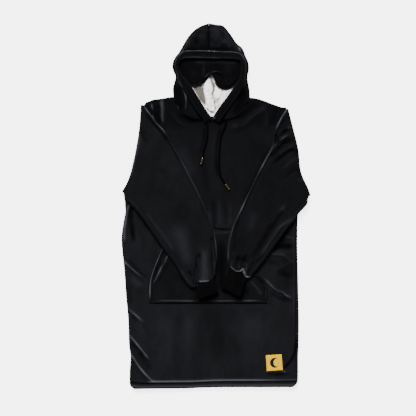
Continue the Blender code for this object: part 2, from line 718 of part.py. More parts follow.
def drawcord(name, route, look):
    """Round cord lying on the front; returns its last point and heading."""
    dense = smooth_rows(route, 400)
    steps = np.hypot(*np.diff(dense, axis=0).T)
    gone = np.concatenate([[0.0], np.cumsum(steps)])
    count = int(gone[-1] / (2.2 * CORD_DIAMETER)) + 1
    marks = np.linspace(0, gone[-1], count)
    xs = np.interp(marks, gone, dense[:, 0])
    ys = np.interp(marks, gone, dense[:, 1])
    centre = FRONT + 0.6 + CORD_DIAMETER / 2
    points = []
    for x, y in zip(xs, ys):
        points.append((x, y, centre + (front_height(x, y) - FRONT)))
    curve = bpy.data.curves.new(name, "CURVE")
    curve.dimensions = "3D"
    curve.bevel_depth = CORD_DIAMETER / 2000
    curve.bevel_resolution = 2
    curve.use_fill_caps = True
    spline = curve.splines.new("POLY")
    spline.points.add(len(points) - 1)
    for point, place in zip(spline.points, points):
        point.co = (place[0] * 0.001, place[1] * 0.001, place[2] * 0.001, 1.0)
    spline.use_smooth = True
    made = bpy.data.objects.new(name, curve)
    bpy.context.scene.collection.objects.link(made)
    curve.materials.append(look)
    heading = math.atan2(ys[-1] - ys[-2], xs[-1] - xs[-2])
    return points[-1], heading


def aglet(name, place, heading, look):
    """Metal cord end: a short round tube with a rolled rim at each end."""
    profile = [(0.0, 0.86), (0.05, 1.0), (0.12, 1.0), (0.16, 0.9), (0.84, 0.9), (0.88, 1.0), (0.95, 1.0), (1.0, 0.8)]
    around = 12
    points = []
    radius = AGLET_DIAMETER / 2
    x, y, z = place
    z += radius - CORD_DIAMETER / 2
    ux, uy = math.cos(heading), math.sin(heading)
    for share, size in profile:
        reach = SEAM + AGLET_LENGTH * share
        for k in range(around):
            a = 2 * math.pi * k / around
            side = radius * size * math.cos(a)
            points.append((x + ux * reach - uy * side, y + uy * reach + ux * side, z + radius * size * math.sin(a)))
    faces = [tuple(reversed(range(around))), tuple(range(len(points) - around, len(points)))]
    for r in range(len(profile) - 1):
        for k in range(around):
            a, b = r * around + k, r * around + (k + 1) % around
            faces.append((a, b, b + around, a + around))
    return outward(add_object(name, points, faces, look))


def patch(look):
    turn = math.radians(PATCH_TURN)
    outer, inner = [], []
    places = (-0.5, -0.47, 0.0, 0.47, 0.5)
    for v in places:
        out_row, in_row = [], []
        for u in places:
            x = PATCH_CENTRE[0] + PATCH_SIDE * (u * math.cos(turn) - v * math.sin(turn))
            y = PATCH_CENTRE[1] + PATCH_SIDE * (u * math.sin(turn) + v * math.cos(turn))
            floor = front_height(x, y) + 0.45
            rim = 0.4 if max(abs(u), abs(v)) == 0.5 else 0.0
            out_row.append((x, y, floor + PATCH_THICK - rim))
            in_row.append((x, y, floor))
        outer.append(out_row)
        inner.append(in_row)
    return wall_sheet("patch", outer, inner, look)


def build():
    clear_scene()
    black = material("black_pile_fleece", BLACK_PILE)
    rib = material("black_rib_knit", BLACK_RIB)
    white = material("white_sherpa", WHITE_PILE)
    cord = material("black_cord", BLACK_CORD)
    brass = material("brass", BRASS)
    yellow = material("yellow_twill", YELLOW_TWILL)
    back_body(black)
    front_body(black)
    pocket(black)
    sleeve("right_sleeve", RIGHT_SLEEVE, RIGHT_BOW, RIGHT_SLEEVE_FOLDS, 1, black)
    sleeve("left_sleeve", LEFT_SLEEVE, LEFT_BOW, LEFT_SLEEVE_FOLDS, -1, black)
    cuff("right_cuff", cuff_start(RIGHT_SLEEVE, 3 * SEAM), RIGHT_CUFF_END, rib)
    cuff("left_cuff", cuff_start(LEFT_SLEEVE, 3 * SEAM), LEFT_CUFF_END, rib)
    hood_panel("right_hood_panel", RIGHT_HOOD, -1, black)
    hood_panel("left_hood_panel", LEFT_HOOD, 1, black)
    hood_casing("right_hood_casing", RIGHT_HOOD, RIGHT_CASING_END, -1, black)
    hood_casing("left_hood_casing", LEFT_HOOD, LEFT_CASING_END, 1, black)
    lining("right_hood_lining", -1, white)
    lining("left_hood_lining", 1, white)
    eye_mask(black)
    end, heading = drawcord("right_drawcord", RIGHT_CORD, cord)
    aglet("right_aglet", end, heading, brass)
    end, heading = drawcord("left_drawcord", LEFT_CORD, cord)
    aglet("left_aglet", end, heading, brass)
    patch(yellow)


build()
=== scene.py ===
"""Oversized hooded top laid flat, its sleeves folded across the front: the finished look."""
import math

import bpy
import numpy as np
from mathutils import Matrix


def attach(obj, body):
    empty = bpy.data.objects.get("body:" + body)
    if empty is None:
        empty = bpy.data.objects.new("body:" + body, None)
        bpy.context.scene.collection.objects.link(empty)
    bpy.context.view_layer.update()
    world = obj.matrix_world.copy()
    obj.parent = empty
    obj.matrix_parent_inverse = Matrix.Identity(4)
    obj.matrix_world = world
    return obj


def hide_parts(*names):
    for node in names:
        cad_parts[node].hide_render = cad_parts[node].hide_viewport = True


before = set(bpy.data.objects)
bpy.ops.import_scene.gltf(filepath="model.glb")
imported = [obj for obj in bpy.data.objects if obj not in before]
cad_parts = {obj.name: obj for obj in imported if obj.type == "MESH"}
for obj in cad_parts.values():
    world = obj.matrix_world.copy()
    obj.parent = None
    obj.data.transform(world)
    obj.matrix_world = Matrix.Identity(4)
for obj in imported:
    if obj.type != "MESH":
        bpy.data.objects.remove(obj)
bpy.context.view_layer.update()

# sizes and outlines of the solids, millimetres
WALL = 4.0
SEAM = 0.3
EDGE = 5.0
FRONT = 2 * EDGE
POCKET_CLOTH = 3.0
POCKET_LIFT = 3.4
SIDE_WRAP = 18.0
SLEEVE_GAP = 1.0
CUFF_WALL = 2.6
RIB_HEIGHT = 0.9
RIBS_ROUND = 22
CUFF_TUCK = 4.0
CASING_THICK = 9.0
NECK_LAP = 3.0
LINING = 3.0
MASK_THICK = 6.4
CORD_DIAMETER = 6.0
AGLET_LENGTH = 26.0
AGLET_DIAMETER = 7.0
PATCH_SIDE = 60.0
PATCH_THICK = 1.2
PATCH_CENTRE = (220.0, -592.0)
PATCH_TURN = 4.0
MASK_TOP = 572.0
# the hem above its lower edge: stitched groove, and the ridge that the turned cloth makes
HEM_GROOVE = 19.5
HEM_RIDGE = 27.0
BODY_LENGTH = 1080
POCKET_TALL = 275
POCKET_GROOVE = 17.0
PATCH_LIFT = 0.45
# stitches: how far they stand proud, their length and the gap between them
STITCH_LIFT, STITCH_LENGTH, STITCH_GAP = 0.3, 3.2, 1.3

# body outline: y, left edge x, right edge x
BODY_SIDES = [
    (-692, -312, 276), (-687, -319, 286), (-682, -325, 296), (-673, -328, 305),
    (-660, -329, 310), (-620, -328, 311), (-568, -325, 311), (-522, -331, 313),
    (-430, -334, 314), (-340, -342, 312), (-240, -349, 310), (-165, -357, 308),
    (-112, -359, 308), (-59, -352, 309), (-22, -345, 313), (2, -346, 326),
    (21, -347, 344), (42, -350, 353), (61, -350, 351), (93, -328, 329),
    (137, -316, 316), (184, -305, 309), (243, -293, 301), (304, -285, 282),
    (345, -281, 273), (367, -279, 269), (380, -276, 262), (393, -268, 255),
]
# hem's lower edge x, y; shoulder line of the front and of the back x, y, dipping at the neck
HEM_LINE = [(-330, -687), (-282, -692), (-213, -691), (-92, -690), (15, -686), (262, -685), (312, -682)]
FRONT_TOP = [
    (-270, 396), (-250, 405), (-212, 410), (-172, 416), (-160, 407), (-151, 388), (-134, 361),
    (-99, 340), (-42, 331), (15, 331), (72, 342), (102, 369), (117, 389), (127, 405),
    (137, 413), (168, 408), (206, 395), (244, 379), (258, 376),
]
BACK_TOP = [
    (-270, 396), (-250, 405), (-212, 410), (-172, 416), (-160, 404), (125, 404),
    (137, 413), (168, 408), (206, 395), (244, 379), (258, 376),
]
# sleeve stations, shoulder to wrist: fold nearer the neck x, y; fold nearer the hem x, y
RIGHT_SLEEVE = [
    (-285, 386, -357, 54), (-236, 325, -348, 31), (-188, 272, -301, -17), (-116, 145, -251, -86),
    (-55, 24, -202, -156), (-19, -64, -160, -215), (-2, -127, -126, -270), (4, -192, -99, -304),
    (-1, -260, -76, -303),
]
LEFT_SLEEVE = [
    (273, 371, 358, 41), (231, 298, 350, 11), (214, 234, 307, -34), (174, 158, 258, -97),
    (121, 48, 212, -162), (68, -59, 174, -215), (45, -131, 144, -251), (41, -188, 127, -270),
    (47, -228, 115, -274),
]
# how far a sleeve's folded edge bows out: share across, reach
RIGHT_BOW = [(0, 0), (0.25, 12), (0.5, 17), (0.75, 17), (0.9, 11), (1, 0)]
LEFT_BOW = [
    (0, 0), (0.25, 0), (0.38, 0), (0.5, 2.5), (0.65, 11), (0.72, 13), (0.79, 11.5), (0.86, 7), (0.93, 2),
    (1, 0),
]
# a sleeve's start over the armhole: slide of its upper face, height, slide of its lower face
SLEEVE_START = [(0, 0.06, 6), (0, 0.6, 6.5), (1.4, 0.88, 7), (5, 1, 8), (10, 1, 11)]
# each cuff's end: x, y, x, y
RIGHT_CUFF_END = (8, -325, -65, -351)
LEFT_CUFF_END = (20, -306, 92, -344)
# hood, crown to neck: silhouette x, y; panel edge x, y; casing inner edge x, y; heights and swell
RIGHT_HOOD = [
    (-28, 695, -22, 590, -22, 557, 24, 15, 9), (-58, 684, -50, 591, -50, 558, 24, 15, 9),
    (-81, 669, -77, 591, -75, 559, 24, 15, 8), (-105, 642, -101, 591, -97, 559, 24, 15, 6),
    (-126, 607, -120, 589, -115, 559, 24, 15, 2), (-140, 586, -134, 579, -127, 556, 23, 15, 0),
    (-157, 564, -148, 562, -137, 547, 22, 14, 0), (-166, 538, -154, 540, -142, 532, 21, 14, 0),
    (-163, 515, -151, 517, -139, 514, 21, 14, 0), (-154, 494, -144, 492, -129, 496, 21, 13, 0),
    (-159, 470, -138, 462, -113, 480, 20, 13, 0), (-164, 450, -124, 437, -98, 461, 18, 12, 1),
    (-163, 431, -100, 398, -71, 418, 16, 12, 2), (-161, 418, -74, 356, -45, 376, 14.8, 13, 1),
    (-159, 411, -52, 333, -21, 340, 14.4, 14.4, 0),
]
LEFT_HOOD = [
    (-28, 695, -21, 590, -21, 557, 24, 15, 9), (-1, 690, 5, 589, 5, 557, 24, 15, 9),
    (25, 685, 32, 587, 32, 557, 24, 15, 8), (51, 654, 55, 587, 55, 556, 24, 15, 6),
    (74, 621, 72, 585, 72, 555, 24, 15, 2), (98, 601, 88, 581, 83, 552, 23, 15, 0),
    (113, 568, 101, 566, 90, 549, 22, 14, 0), (123, 543, 110, 543, 94, 532, 21, 14, 0),
    (124, 517, 112, 519, 94, 513, 21, 14, 0), (119, 492, 108, 492, 90, 492, 21, 13, 0),
    (122, 466, 103, 462, 81, 475, 20, 13, 0), (126, 446, 94, 435, 67, 452, 18, 12, 1),
    (127, 428, 68, 395, 39, 412, 16, 12, 2), (127, 418, 40, 356, 10, 373, 14.8, 13, 1),
    (125, 411, 23, 333, -12, 339, 14.4, 14.4, 0),
]
# centre seam at the back of the hood x, y; ends of the casings where they cross x, y, x, y
NAPE_SEAM = [(-28, 648), (-25, 560), (-22, 480), (-20, 403)]
RIGHT_CASING_END = (-47, 316, -20, 332)
LEFT_CASING_END = (13, 316, -14, 333)
# level under a casing: table row, height
CASING_UNDER = [(0, 15.4), (6, 15.4), (9, 14.6), (11, 12), (13, 10.6), (14, 10.4), (15, 10.4)]
# mask's lower edge x, y; lining and pocket y, left edge x, right edge x; cords x, y
MASK_EDGE = [
    (-150, 531), (-146, 510), (-136, 493), (-123, 478), (-109, 465), (-95, 457), (-82, 454), (-68, 456),
    (-54, 462), (-37, 479), (-25, 495), (-17, 500), (-9, 489), (-1, 466), (5, 456), (18, 447), (34, 443),
    (50, 446), (64, 454), (80, 469), (92, 488), (98, 510), (99, 530),
]
LINING_SIDES = [
    (341, -21, -9), (352, -32, 1), (376, -50, 16), (415, -77, 42), (455, -104, 73), (482, -120, 92),
    (522, -122, 94),
]
POCKET_SIDES = [
    (-367, -254, 194), (-306, -254, 193), (-288, -251, 189), (-241, -238, 150), (-158, -204, 137),
    (-92, -176, 124),
]
RIGHT_CORD = [(-34, 316), (-33, 298), (-34, 268), (-39, 241), (-46, 215), (-52, 186)]
LEFT_CORD = [
    (38, 326), (34, 306), (24, 283), (17, 256), (13, 222), (11, 184), (11, 150), (15, 124), (23, 103), (35, 85),
]

# folds: height, painted highlight (+) or painted shade (-) on the pile, half widths left and
# right of travel, points x, y
FRONT_FOLDS = [
    (5, 0.8, 2.8, 12, [(-371, -188), (-348, -209), (-310, -242), (-273, -276), (-257, -289)]),
    (-2, -0.6, 9, 8, [(-340, -193), (-313, -231), (-260, -287)]),
    (0, 0.2, 20, 20, [(-334, -252), (-270, -316)]),
    (3, 0.5, 3, 9, [(-345, -377), (-329, -390), (-286, -428), (-270, -443)]),
    (-1, -0.5, 6, 6, [(-324, -409), (-297, -443)]),
    (1.6, 0.1, 14, 18, [(-312, -400), (-300, -428), (-282, -470), (-262, -520)]),
    (5, 0.75, 2.5, 10, [(-342, -473), (-326, -491), (-294, -528), (-264, -567), (-249, -587)]),
    (-2, -0.55, 7, 6, [(-329, -510), (-302, -542), (-270, -582)]),
    (5.5, 0.8, 2.5, 10, [(-337, -539), (-318, -566), (-284, -616), (-244, -658), (-217, -662)]),
    (-2, -0.45, 10, 10, [(-297, -553), (-270, -592), (-238, -630)]),
    (-4, -0.95, 10, 8, [(-319, 14), (-324, -39), (-318, -98), (-310, -151)]),
    (4, 0.6, 6, 8, [(-324, 19), (-335, -13), (-346, -76), (-348, -146)]),
    (-1, -0.6, 14, 14, [(-302, -7), (-244, -98)]),
    (0, -0.35, 8, 8, [(-329, -295), (-324, -380)]),
    (-5, -1, 24, 18, [(290, -30), (258, -98), (222, -158)]),
    (-5, -1, 12, 12, [(196, -162), (246, -154), (306, -154)]),
    (3.5, 0.24, 4, 10, [(196, -177), (219, -181), (255, -185), (279, -205), (300, -208)]),
    (-2, -0.5, 12, 12, [(187, -215), (246, -215)]),
    (2.2, 0.08, 7, 9, [(222, -250), (256, -228), (300, -206)]),
    (-3, -0.45, 13, 13, [(226, -250), (299, -273)]),
    (4, 0.46, 3, 8, [
        (172, -260), (195, -284), (222, -311), (238, -321), (254, -325), (262, -334), (277, -343), (298, -350)]),
    (-2, -0.5, 8, 8, [(198, -321), (235, -348), (294, -366)]),
    (0, -0.42, 34, 34, [(262, -150), (270, -235), (258, -300), (246, -352)]),
    (2.5, 0.3, 6, 9, [(224, -76), (267, -114), (304, -124)]),
    (2, 0.32, 2.6, 2.6, [(295, -9), (295, -204), (294, -440)]),
    (0.6, 0.16, 2.4, 2.4, [(282, -220), (282, -300), (281, -430)]),
    (-2, -0.55, 3, 3, [(300, -34), (301, -348), (302, -667)]),
    (3.5, -1.1, 5, 8, [(306, -490), (302, -525), (298, -550), (287, -575), (270, -597), (246, -620)]),
    (1.5, 0.35, 5, 5, [(224, -606), (275, -638)]),
    (-2, -0.85, 5, 5, [(184, -635), (224, -638), (283, -635)]),
    (0, 0.14, 62, 62, [(-165, -330), (-180, -680)]),
    (0, 0.12, 62, 62, [(112, -330), (130, -660)]),
    (-0.8, -0.42, 40, 40, [(-8, -330), (6, -443), (14, -620)]),
    (0.5, 0.07, 20, 20, [(-108, -370), (-100, -620)]),
    (-0.4, -0.08, 18, 18, [(-146, -380), (-153, -640)]),
    (0.5, 0.06, 20, 20, [(158, -380), (175, -560)]),
    (3.2, 0.42, 8, 9, [(-206, 425), (-205, 353), (-203, 300), (-188, 262)]),
    (-4, -0.9, 7, 6, [(-220, 390), (-220, 348), (-216, 305)]),
    (3, 0.5, 4, 5, [(-247, 400), (-241, 362), (-236, 318)]),
    (-2, -0.6, 4, 4, [(-232, 385), (-229, 326)]),
    (0, -0.7, 6, 6, [(-264, 389), (-228, 341), (-185, 283)]),
    (-2.5, -0.75, 9, 9, [(-153, 358), (-116, 329), (-63, 315)]),
    (2, 0.1, 8, 8, [(-175, 364), (-148, 326), (-105, 294)]),
    (5, 0.2, 12, 15, [(36, 286), (75, 307), (107, 321), (155, 356), (206, 390)]),
    (-4, -0.8, 14, 14, [(59, 321), (102, 342), (145, 380), (161, 401)]),
    (-1, -0.5, 10, 10, [(-10, 315), (49, 318)]),
    (-2.5, -0.6, 10, 10, [(230, 385), (224, 342), (208, 294)]),
    (1.4, 0.1, 12, 12, [(194, 374), (187, 280)]),
    (0, -0.3, 32, 32, [(171, 279), (161, 162)]),
    (-1.4, -0.5, 10, 10, [(214, 236), (161, 130), (102, 2)]),
    (1.6, 0.08, 24, 24, [(-7, 289), (-7, 135), (1, 2)]),
    (-1.4, -0.3, 12, 12, [(-58, 215), (-36, 82), (-26, -41)]),
    (1.2, 0.15, 34, 34, [(-153, 257), (-84, 76)]),
    (0, -1, 5, 5, [(-36, -66), (-12, -80), (20, -86), (85, -86)]),
    (1.5, 0.9, 3, 3, [(-13, 339), (-8, 332), (3, 325)]),
    (-1, -0.9, 4, 4, [(-30, 318), (-10, 322), (18, 318)]),
    (-1, -0.8, 6, 6, [(-44, 312), (-43, 280), (-52, 230), (-62, 190)]),
    (-1, -0.8, 6, 6, [(29, 318), (12, 275), (2, 220), (2, 160), (8, 122), (26, 92)]),
    (1.6, 0.2, 10, 10, [(-28, 60), (-25, -39), (-19, -96)]),
    (-1.6, -0.5, 7, 7, [(-9, 30), (-7, -90)]),
    (1.2, 0.14, 10, 10, [(10, 36), (14, -88)]),
    (-1.4, -0.4, 7, 7, [(36, 24), (37, -84)]),
    (1.2, 0.12, 7, 7, [(53, 10), (55, -80)]),
]
POCKET_FOLDS = [
    (0, 0.3, 3.2, 3.2, [(-40, -97), (20, -99), (90, -97)]),
    (0, 0.8, 2.5, 2.5, [(-190, -130), (-204, -158), (-222, -203), (-238, -241), (-249, -285), (-252, -362)]),
    (0, -0.7, 5, 5, [(-188, -140), (-210, -190), (-230, -245), (-238, -275)]),
    (0, 0.6, 2.8, 2.8, [(-175, -172), (-193, -204), (-216, -247), (-232, -280), (-246, -295)]),
    (0, -0.5, 5, 5, [(-169, -188), (-201, -252), (-228, -295)]),
    (0, -0.6, 2.8, 2.8, [(-243, -301), (-242, -354)]),
    (0, 0.68, 2.4, 2.4, [(-252, -356), (-31, -357), (188, -356)]),
    (0, -0.95, 3.4, 3.4, [(-244, -366), (-31, -367), (195, -366)]),
    (0, 0.22, 2.6, 2.6, [(184, -284), (188, -356)]),
    (0, -0.6, 3, 3, [(181, -289), (182, -348)]),
    (-2, -0.95, 24, 24, [(-105, -337), (-42, -348), (17, -342)]),
    (-2, -1, 20, 20, [(17, -108), (20, -215), (22, -348)]),
    (-1, -0.8, 16, 16, [(54, -348), (102, -337), (121, -295)]),
    (0, -0.6, 14, 14, [(-31, -369), (-20, -358)]),
    (2.4, 0.22, 7, 7, [(121, -273), (150, -305), (179, -342)]),
    (-2, -0.6, 9, 9, [(145, -257), (187, -300)]),
    (1.5, 0.06, 16, 16, [(-175, -284), (-127, -348)]),
    (-1.5, -0.4, 10, 10, [(-153, -252), (-105, -316)]),
]
RIGHT_SLEEVE_FOLDS = [
    (1.2, 0.75, 3, 3, [(-277, 385), (-244, 342), (-207, 297), (-180, 265)]),
    (-2.5, -0.65, 7, 7, [(-278, 364), (-244, 321), (-201, 271), (-180, 236)]),
    (-2, -0.5, 6, 6, [(-199, 279), (-169, 236), (-127, 156)]),
    (2.6, 0.06, 16, 16, [(-252, 252), (-244, 140), (-260, 28)]),
    (2.4, 0.05, 18, 18, [(-193, 215), (-164, 103), (-127, -14)]),
    (-1.4, -0.35, 10, 10, [(-282, 300), (-268, 252), (-249, 231)]),
    (0, 0.4, 8, 8, [(-284, 294), (-302, 215), (-329, 103)]),
    (0, -0.25, 24, 24, [(-228, 82), (-180, 2)]),
    (0, 0.35, 3, 3, [(-337, 17), (-228, -124), (-121, -295)]),
    (-1, -0.3, 8, 8, [(-308, -2), (-217, -119), (-137, -241)]),
    (0, 0.6, 2.8, 2.8, [(-190, 275), (-120, 154), (-70, 58), (-29, -24), (-5, -110), (0, -215)]),
    (5, 0.22, 34, 34, [(-158, -40), (-125, -150), (-95, -260)]),
    (-2, -0.3, 20, 20, [(-169, -7), (-105, -71)]),
    (-6, -0.85, 5, 6, [(-60, -170), (-72, -215), (-77, -263), (-84, -316)]),
    (4, 0.26, 20, 20, [(-44, -140), (-43, -225), (-44, -330)]),
    (-7, -1, 7, 6, [(-20, -108), (-12, -162), (-9, -215), (-12, -273)]),
    (3, 0.6, 3, 3, [(1, -114), (5, -177), (5, -252)]),
    (0, -0.5, 5, 5, [(-36, -7), (-15, -60), (-3, -108)]),
    (2.6, 0.14, 5, 5, [(-137, -236), (-113, -273), (-92, -300)]),
    (0, 0.7, 3, 3, [(-69, -283), (-23, -281)]),
    (-3, -0.6, 6, 6, [(-105, -241), (-90, -273)]),
    (1.2, 0.15, 10, 10, [(-276, -7), (-201, -114), (-153, -188)]),
]
LEFT_SLEEVE_FOLDS = [
    (1.2, 0.65, 3, 3, [(275, 377), (248, 337), (224, 287)]),
    (-2, -0.5, 6, 6, [(275, 353), (248, 310), (235, 279)]),
    (-5, -1, 9, 9, [(216, 284), (227, 252), (224, 231)]),
    (-4, -0.9, 5, 5, [(291, 294), (262, 283), (238, 260)]),
    (3, 0.45, 6, 6, [(270, 310), (288, 279)]),
    (3.6, 0.34, 5, 8, [(291, 271), (270, 268), (230, 240), (198, 196), (166, 135)]),
    (-5, -0.85, 7, 9, [(309, 257), (267, 241), (230, 209), (203, 172)]),
    (3, 0.14, 8, 8, [(315, 236), (267, 215), (230, 177)]),
    (-3.5, -0.7, 8, 8, [(309, 223), (256, 193), (208, 151)]),
    (-2, -0.6, 12, 12, [(304, 236), (307, 183)]),
    (2.5, 0.12, 10, 10, [(325, 193), (283, 167), (246, 130)]),
    (-2, -0.4, 9, 9, [(336, 151), (288, 130), (256, 98)]),
    (2, 0.15, 12, 12, [(347, 108), (299, 92)]),
    (0, 0.42, 2.8, 2.8, [(190, 183), (134, 80), (84, -38)]),
    (0, 0.4, 3, 3, [(112, 25), (67, -74), (48, -151), (45, -225)]),
    (4, 0.24, 10, 10, [(312, -34), (264, -63), (230, -92), (189, -154), (155, -209)]),
    (-4, -0.65, 11, 11, [(256, -7), (203, -92), (155, -172), (129, -209)]),
    (3, 0.22, 9, 9, [(267, 14), (238, -29), (208, -76)]),
    (0, 0.15, 22, 22, [(155, 3), (118, -114)]),
    (-2, -0.5, 9, 9, [(89, -39), (70, -124), (67, -188)]),
    (-3, -0.75, 12, 12, [(65, -199), (129, -204)]),
    (-2, -0.3, 4, 4, [(70, -247), (78, -215), (91, -177)]),
    (-2, -0.3, 4, 4, [(99, -241), (103, -209), (115, -177)]),
    (-2, -0.3, 4, 4, [(121, -273), (129, -236), (150, -199)]),
    (2, 0.15, 5, 5, [(58, -236), (61, -199)]),
    (2, 0.15, 5, 5, [(85, -241), (89, -204)]),
    (2.5, 0.2, 6, 6, [(110, -263), (115, -220)]),
    (0, 0.9, 3, 3, [
        (45, -221), (61, -233), (75, -244), (91, -244), (101, -236), (108, -255), (121, -267), (142, -258)]),
    (2, 0.25, 4, 4, [(94, -225), (107, -219), (123, -225)]),
]
HOOD_FOLDS = [
    (-3.5, -1, 4, 4, [(-29, 699), (-28, 646), (-28, 587)]),
    (-1.5, -0.7, 9, 9, [(-31, 667), (-29, 614)]),
    (0, -0.6, 5, 5, [(-150, 595), (-31, 596), (96, 595)]),
    (0, -0.45, 22, 22, [(-58, 651), (-90, 630), (-105, 598)]),
    (2, 0.26, 13, 13, [(-50, 692), (-84, 655), (-104, 618), (-118, 596)]),
    (-2, -0.55, 11, 11, [(-66, 676), (-72, 640), (-74, 596)]),
    (1.2, 0.12, 10, 10, [(-48, 660), (-46, 628), (-48, 596)]),
    (2.5, 0.12, 26, 26, [(12, 690), (34, 580)]),
    (0.8, 0.1, 9, 9, [(-14, 676), (-4, 640), (8, 606)]),
    (-1.5, -0.4, 7, 7, [(-16, 640), (-14, 610)]),
    (-1.5, -0.45, 8, 8, [(18, 668), (26, 640), (24, 618)]),
    (1.4, 0.2, 8, 8, [(10, 632), (38, 616), (54, 596)]),
    (-1.5, -0.45, 9, 9, [(44, 664), (58, 634), (72, 598)]),
    (2.2, 0.7, 4, 6, [(65, 622), (83, 603), (99, 582)]),
    (4.5, 0.8, 8, 4, [
        (-150, 490), (-136, 464), (-124, 440), (-117, 424), (-115, 400), (-117, 374), (-124, 346)]),
    (-5, -1.2, 20, 18, [(-150, 470), (-144, 430), (-141, 392), (-128, 330)]),
    (-2, -0.5, 6, 6, [(-127, 465), (-105, 422), (-97, 374)]),
    (-5, -1.2, 24, 22, [(104, 478), (97, 428), (92, 385), (54, 320)]),
    (3, 0.3, 7, 7, [(110, 470), (91, 433), (65, 406)]),
    (0, -0.6, 12, 12, [(-90, 406), (-74, 353)]),
    (0, -1, 10, 10, [(-150, 600), (-163, 560), (-162, 515), (-154, 488), (-160, 455)]),
    (0, -1, 10, 10, [(100, 612), (121, 560), (122, 515), (118, 488), (124, 450)]),
]
MASK_FOLDS = [
    (2.8, 0.8, 3, 3.4, [(-48, 486), (-24, 503), (-8, 510), (14, 508), (26, 498)]),
    (1.4, 0.3, 7, 7, [(-46, 545), (-48, 513), (-50, 481)]),
    (-1.4, -0.4, 10, 10, [(-7, 545), (4, 518), (12, 481)]),
    (0.8, 0.2, 18, 18, [(20, 545), (44, 520), (72, 500)]),
    (0, -1, 3.5, 3.5, [(-190, 557), (-20, 559), (150, 554)]),
    (0, 0.4, 9, 9, [(-104, 547), (-20, 550), (104, 544)]),
    (0, 0.2, 18, 18, [(-84, 530), (-90, 476)]),
    (1, 0.5, 3, 3, [(-95, 460), (-72, 461), (-52, 472)]),
    (-1.5, -1, 7, 7, [(0, 498), (16, 494), (28, 484)]),
    (0, -1, 19, 19, [(-146, 590), (-146, 548), (-141, 515), (-126, 486), (-96, 452)]),
    (0, -0.8, 11, 11, [(100, 570), (98, 540), (95, 500), (72, 466)]),
]
LINING_FOLDS = [
    (0, -1.05, 18, 18, [(-150, 520), (-90, 464), (-70, 432), (-54, 400), (-38, 362)]),
    (0, -0.75, 10, 11, [(-74, 516), (-60, 470), (-55, 434), (-48, 372)]),
    (0, -0.3, 12, 12, [(-30, 392), (-26, 370), (-24, 346)]),
    (-2.6, -0.8, 4, 3, [(-42, 490), (-47, 462), (-50, 434), (-47, 406), (-40, 384)]),
    (3, 0.9, 10, 10, [(-32, 500), (-35, 452), (-30, 408), (-26, 372)]),
    (-2.4, -1.1, 6, 6, [(-27, 514), (-18, 482), (-11, 460), (-9, 446), (-13, 428), (-15, 400)]),
    (0, -0.5, 6, 6, [(-10, 514), (-5, 480), (-2, 446)]),
    (0, 0.5, 9, 9, [(10, 460), (6, 430), (-2, 404)]),
    (0, -1.1, 9, 9, [(-44, 490), (-18, 498), (2, 488)]),
    (-1, -0.3, 3, 3, [(-22, 446), (-31, 425)]),
    (-1.8, -0.8, 3.4, 3.4, [(-8, 410), (-5, 384), (-4, 366), (-12, 354)]),
    (0, -0.5, 10, 10, [(-10, 430), (4, 396), (10, 362)]),
    (-1.2, -0.6, 5, 5, [(30, 470), (22, 434), (6, 396)]),
    (-1.4, -0.8, 4, 4, [(-40, 376), (-24, 361), (-8, 357), (0, 362)]),
    (0, -0.5, 5, 5, [(-18, 366), (-15, 350)]),
    (0, 0.9, 2.6, 2.6, [(-110, 474), (-65, 408), (-24, 346)]),
    (0, 0.7, 3, 3, [(86, 476), (44, 416), (-6, 348)]),
]
# how far each sleeve's gathered end runs past its straight line: share across, reach
RIGHT_SCALLOP = [(0, -3), (0.1, 3), (0.3, 9), (0.5, 5), (0.7, -2), (0.8, -8), (0.9, -3), (1, 2)]
LEFT_SCALLOP = [
    (0, -3), (0.12, 0), (0.3, 0), (0.42, -1), (0.55, -7), (0.64, -12), (0.74, -6), (0.88, -1), (1, -3),
]


def paint(text):
    """Linear colour of an sRGB hex."""
    parts = [int(text[k:k + 2], 16) / 255 for k in (1, 3, 5)]
    return (*[c / 12.92 if c <= 0.04045 else ((c + 0.055) / 1.055) ** 2.4 for c in parts], 1.0)


def ease(value):
    """0 to 1 with soft ends."""
    value = np.clip(value, 0.0, 1.0)
    return value * value * (3 - 2 * value)


def curve_through(table, count):
    """Places along a smooth curve through a table's rows."""
    data = np.array(table, float)
    padded = np.vstack([2 * data[0] - data[1], data, 2 * data[-1] - data[-2]])
    place = np.linspace(0, len(data) - 1, count)
    i = np.minimum(place.astype(int), len(data) - 2)
    t = (place - i)[:, None]
    a, b, c, d = padded[i], padded[i + 1], padded[i + 2], padded[i + 3]
    return 0.5 * (2 * b + (c - a) * t + (2 * a - 5 * b + 4 * c - d) * t ** 2 + (3 * b - a - 3 * c + d) * t ** 3)


def read(table, at, column):
    """A table's column where its first column is `at`, along a smooth curve through the rows."""
    data = curve_through(table, 10 * len(table))
    return np.interp(at, np.maximum.accumulate(data[:, 0]), data[:, column])


def cloud(x, y, cell, seed):
    """Soft random field from -1 to 1 with patches about one cell wide."""
    gx, gy = x / cell + seed * 7.3, y / cell + seed * 3.1
    ix, iy = np.floor(gx), np.floor(gy)
    fx, fy = ease(gx - ix), ease(gy - iy)

    def corner(i, j):
        """A fixed random value for each corner of a cell."""
        value = np.sin(i * 127.1 + j * 311.7 + seed * 74.7) * 43758.5453
        return 2 * (value - np.floor(value)) - 1

    low = corner(ix, iy) * (1 - fx) + corner(ix + 1, iy) * fx
    high = corner(ix, iy + 1) * (1 - fx) + corner(ix + 1, iy + 1) * fx
    return low * (1 - fy) + high * fy


